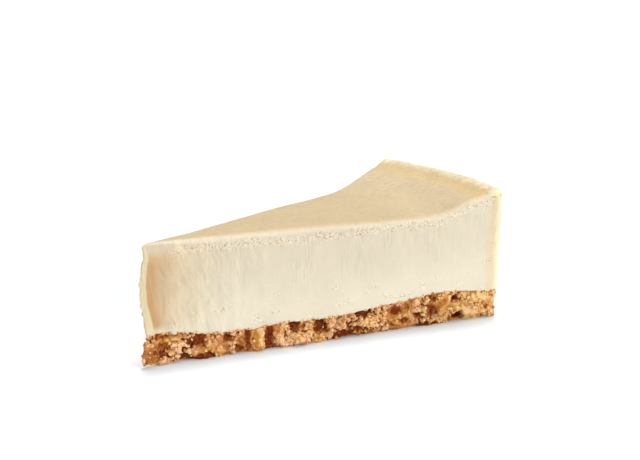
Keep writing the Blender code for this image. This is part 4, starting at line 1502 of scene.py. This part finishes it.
def crumb_material(colours, name, tone_source):
    """Dry biscuit crumb: reddish brown with painted shade in the gaps and pale on the grains."""
    material, tree, shader = new_material(name)
    spots = grain_noise(tree, size=0.0011, detail=4.0, roughness=0.7)
    tone = ramp_value(tree, plus(tree, stored(tree, tone_source), spots), *CRUMB_TONE_RAMP)
    mottle = grain_noise(tree, size=0.0009, detail=3.0, roughness=0.6)
    mottle = ramp_value(tree, mottle, *CRUMB_MOTTLE_RAMP)
    lowest = mix_colours(tree, mottle, colours.crumb_deep, colours.crumb_middle)
    colour = mix_colours(tree, ramp_value(tree, tone, 0.0, 0.5), lowest, colours.crumb_middle)
    colour = mix_colours(tree, ramp_value(tree, tone, 0.5, 1.0), colour, colours.crumb_pale)
    tint = mix_colours(tree, stored(tree, "gold"), CRUMB_PINK, CRUMB_GOLD)
    colour = mix_colours(tree, 1.0, colour, tint, "MULTIPLY")
    # Painted shade: darker further inside the outline, in the crevices
    deep = ramp_value(tree, stored(tree, "deep"), *CRUMB_DEEP_RAMP)
    colour = mix_colours(tree, deep, colour, colours.crumb_deep)
    tree.links.new(colour, shader.inputs["Base Color"])
    rough = ramp_value(tree, grain_noise(tree, size=0.0006, detail=2.0), *NOISE_RANGE, *CRUMB_ROUGHNESS)
    tree.links.new(rough, shader.inputs["Roughness"])
    set_shader(shader, CRUMB_FINISH)
    add_relief(tree, shader, grain_noise(tree, size=0.0005, detail=3.0), CRUMB_RELIEF_DEPTH)
    return material


def floor_material(colour, beside):
    """A pale matt floor with a very faint unevenness, and a painted shadow, cooler and darker, beside the
    slice.
    """
    material, tree, shader = new_material("Pale floor")
    clouds = ramp_value(tree, grain_noise(tree, size=0.2, detail=2.0), *NOISE_RANGE)
    darker = [FLOOR_CLOUD_TONE * part for part in colour]
    shade = mix_colours(tree, clouds, darker, colour)
    # Painted shadow: the floor is darker and cooler beside the slice
    shade = mix_colours(tree, stored(tree, "beside"), shade, beside)
    tree.links.new(shade, shader.inputs["Base Color"])
    set_shader(shader, FLOOR_FINISH)
    return material


def settle(piece, material, slot, *nodes):
    """Gives a piece its material and its body, and hides the part's pieces that it stands for; the slot is
    not used.
    """
    piece.data.materials.clear()
    piece.data.materials.append(material)
    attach(piece, BODY)
    if nodes:
        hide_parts(*nodes)


class CHEESECAKE_OT_filling(bpy.types.Operator):
    """Makes the baked filling with its lip, pits, knife lines and rim."""

    bl_idname = "cheesecake.make_filling"
    bl_label = "Make the filling"

    def execute(self, context):
        """Makes the piece."""
        piece = make_filling_piece(context.scene.slice_sizes)
        settle(piece, filling_material(context.scene.slice_colours), FILLING_SLOT, FILLING_NODE)
        return {"FINISHED"}


class CHEESECAKE_OT_crumb_base(bpy.types.Operator):
    """Makes the base of pressed biscuit crumb."""

    bl_idname = "cheesecake.make_crumb_base"
    bl_label = "Make the crumb base"

    def execute(self, context):
        """Makes the piece."""
        piece = make_base_piece()
        material = crumb_material(context.scene.slice_colours, "Pressed crumb", "proud")
        settle(piece, material, CRUMB_SLOT, BASE_NODE)
        return {"FINISHED"}


class CHEESECAKE_OT_grains(bpy.types.Operator):
    """Sticks small grains to the sides of the crumb base."""

    bl_idname = "cheesecake.make_grains"
    bl_label = "Add the grains"

    def execute(self, context):
        """Makes the piece."""
        base = bpy.data.objects.get("pressed_crumb")
        filling = bpy.data.objects.get("baked_filling")
        if base is None or filling is None:
            raise RuntimeError("make the filling and the crumb base before the grains")
        piece = make_grain_piece(base, filling, context.scene.slice_sizes)
        material = crumb_material(context.scene.slice_colours, "Crumb grains", "grain")
        settle(piece, material, CRUMB_SLOT)
        return {"FINISHED"}


def make_floor(colour, beside):
    """A wide flat floor that the slice stands on, with a fine middle that stores what is near it, for the
    painted shadow beside the slice.
    """
    middle = np.linspace(-FLOOR_MIDDLE, FLOOR_MIDDLE, FLOOR_LINES)
    lines = np.concatenate([[-FLOOR_REACH], middle, [FLOOR_REACH]])
    rows, columns = np.meshgrid(lines, lines)
    points = np.stack([rows.ravel(), columns.ravel(), np.zeros(rows.size)], axis=-1)
    count = len(lines)
    starts = (np.arange(count - 1)[:, None] * count + np.arange(count - 1)).ravel()
    faces = np.stack([starts, starts + 1, starts + count + 1, starts + count], axis=-1)
    item = mesh_object("stage_floor", points, faces)
    # Where the painted shadow beside the slice lies
    near = smooth_step(-BESIDE_REACH, 0.0, inside_way(points)) * smooth_step(0.0, BESIDE_Y, points[:, 1])
    from_tip = points[:, 0] - CAKE_AXIS_X
    near = near * smooth_step(*BESIDE_START, from_tip) * smooth_step(*BESIDE_END, from_tip)
    keep_values(item.data, "beside", near)
    item.data.materials.append(floor_material(colour, beside))


def make_surround(strength):
    """Even white light from all round."""
    world = bpy.data.worlds.new("Studio")
    world.use_nodes = True
    bpy.context.scene.world = world
    background = world.node_tree.nodes["Background"]
    background.inputs["Color"].default_value = (1.0, 1.0, 1.0, 1.0)
    background.inputs["Strength"].default_value = strength


def way_from_slice(azimuth, elevation):
    """The way from the slice at a turn from the front to the right, and a height, in degrees."""
    turn, height = math.radians(azimuth), math.radians(elevation)
    level = math.cos(height)
    return Vector((math.sin(turn) * level, -math.cos(turn) * level, math.sin(height)))


def camera_turn():
    """The camera's turn: its right, up and back ways as columns."""
    back = way_from_slice(CAMERA_AZIMUTH, CAMERA_ELEVATION)
    turn = math.radians(CAMERA_AZIMUTH)
    right = Vector((math.cos(turn), math.sin(turn), 0.0))
    return Matrix((right, back.cross(right), back)).transposed()


def make_camera():
    """The camera at the photograph's angle."""
    data = bpy.data.cameras.new("Camera")
    data.sensor_width = CAMERA_SENSOR
    data.lens = CAMERA_LENS
    data.clip_start = CAMERA_NEAREST
    camera = bpy.data.objects.new("Camera", data)
    camera.matrix_world = Matrix.Translation(CAMERA_PLACE) @ camera_turn().to_4x4()
    bpy.context.scene.collection.objects.link(camera)
    bpy.context.scene.camera = camera


def make_far_light(name, azimuth, elevation, spread, strength):
    """A soft light from far away, at a turn from the front to the right, a height and a spread."""
    data = bpy.data.lights.new(name, "SUN")
    data.angle = math.radians(spread)
    data.energy = strength
    light = bpy.data.objects.new(name, data)
    light.rotation_euler = way_from_slice(azimuth, elevation).to_track_quat("Z", "Y").to_euler()
    bpy.context.scene.collection.objects.link(light)


class CHEESECAKE_OT_stage(bpy.types.Operator):
    """Makes the pale floor, the soft light and the camera."""

    bl_idname = "cheesecake.make_stage"
    bl_label = "Make the stage"

    def execute(self, context):
        """Makes the stage."""
        settings = context.scene.slice_stage
        make_floor(settings.floor, settings.floor_painted_shadow)
        make_surround(settings.surround)
        make_far_light("Overhead light", *OVERHEAD_LIGHT, settings.overhead)
        make_far_light("Front light", *FRONT_LIGHT, settings.front)
        make_camera()
        context.scene.view_settings.view_transform = "Standard"
        return {"FINISHED"}


class CHEESECAKE_PT_slice(bpy.types.Panel):
    """Lists the pieces of the slice, its sizes and its colours."""

    bl_idname = "CHEESECAKE_PT_slice"
    bl_label = "Baked cheesecake slice"
    bl_space_type = "VIEW_3D"
    bl_region_type = "UI"
    bl_category = "Cheesecake"

    def draw(self, context):
        """Draws the panel."""
        for maker in OPERATORS:
            self.layout.operator(maker.bl_idname)
        for group in (context.scene.slice_sizes, context.scene.slice_colours, context.scene.slice_stage):
            box = self.layout.box()
            for name in group.__annotations__:
                box.prop(group, name)


OPERATORS = (
    CHEESECAKE_OT_filling,
    CHEESECAKE_OT_crumb_base,
    CHEESECAKE_OT_grains,
    CHEESECAKE_OT_stage,
)
GROUPS = (
    ("slice_sizes", SliceSizes),
    ("slice_colours", SliceColours),
    ("slice_stage", StageSettings),
)


def register():
    """Registers the settings, the operators and the panel."""
    for name, group in GROUPS:
        bpy.utils.register_class(group)
        setattr(bpy.types.Scene, name, PointerProperty(type=group))
    for item in (*OPERATORS, CHEESECAKE_PT_slice):
        bpy.utils.register_class(item)


def unregister():
    """Takes back what register did."""
    for item in reversed((*OPERATORS, CHEESECAKE_PT_slice)):
        bpy.utils.unregister_class(item)
    for name, group in reversed(GROUPS):
        delattr(bpy.types.Scene, name)
        bpy.utils.unregister_class(group)


def main():
    """Makes every piece and the stage."""
    register()
    bpy.ops.cheesecake.make_filling()
    bpy.ops.cheesecake.make_crumb_base()
    bpy.ops.cheesecake.make_grains()
    bpy.ops.cheesecake.make_stage()


if __name__ == "__main__":
    main()
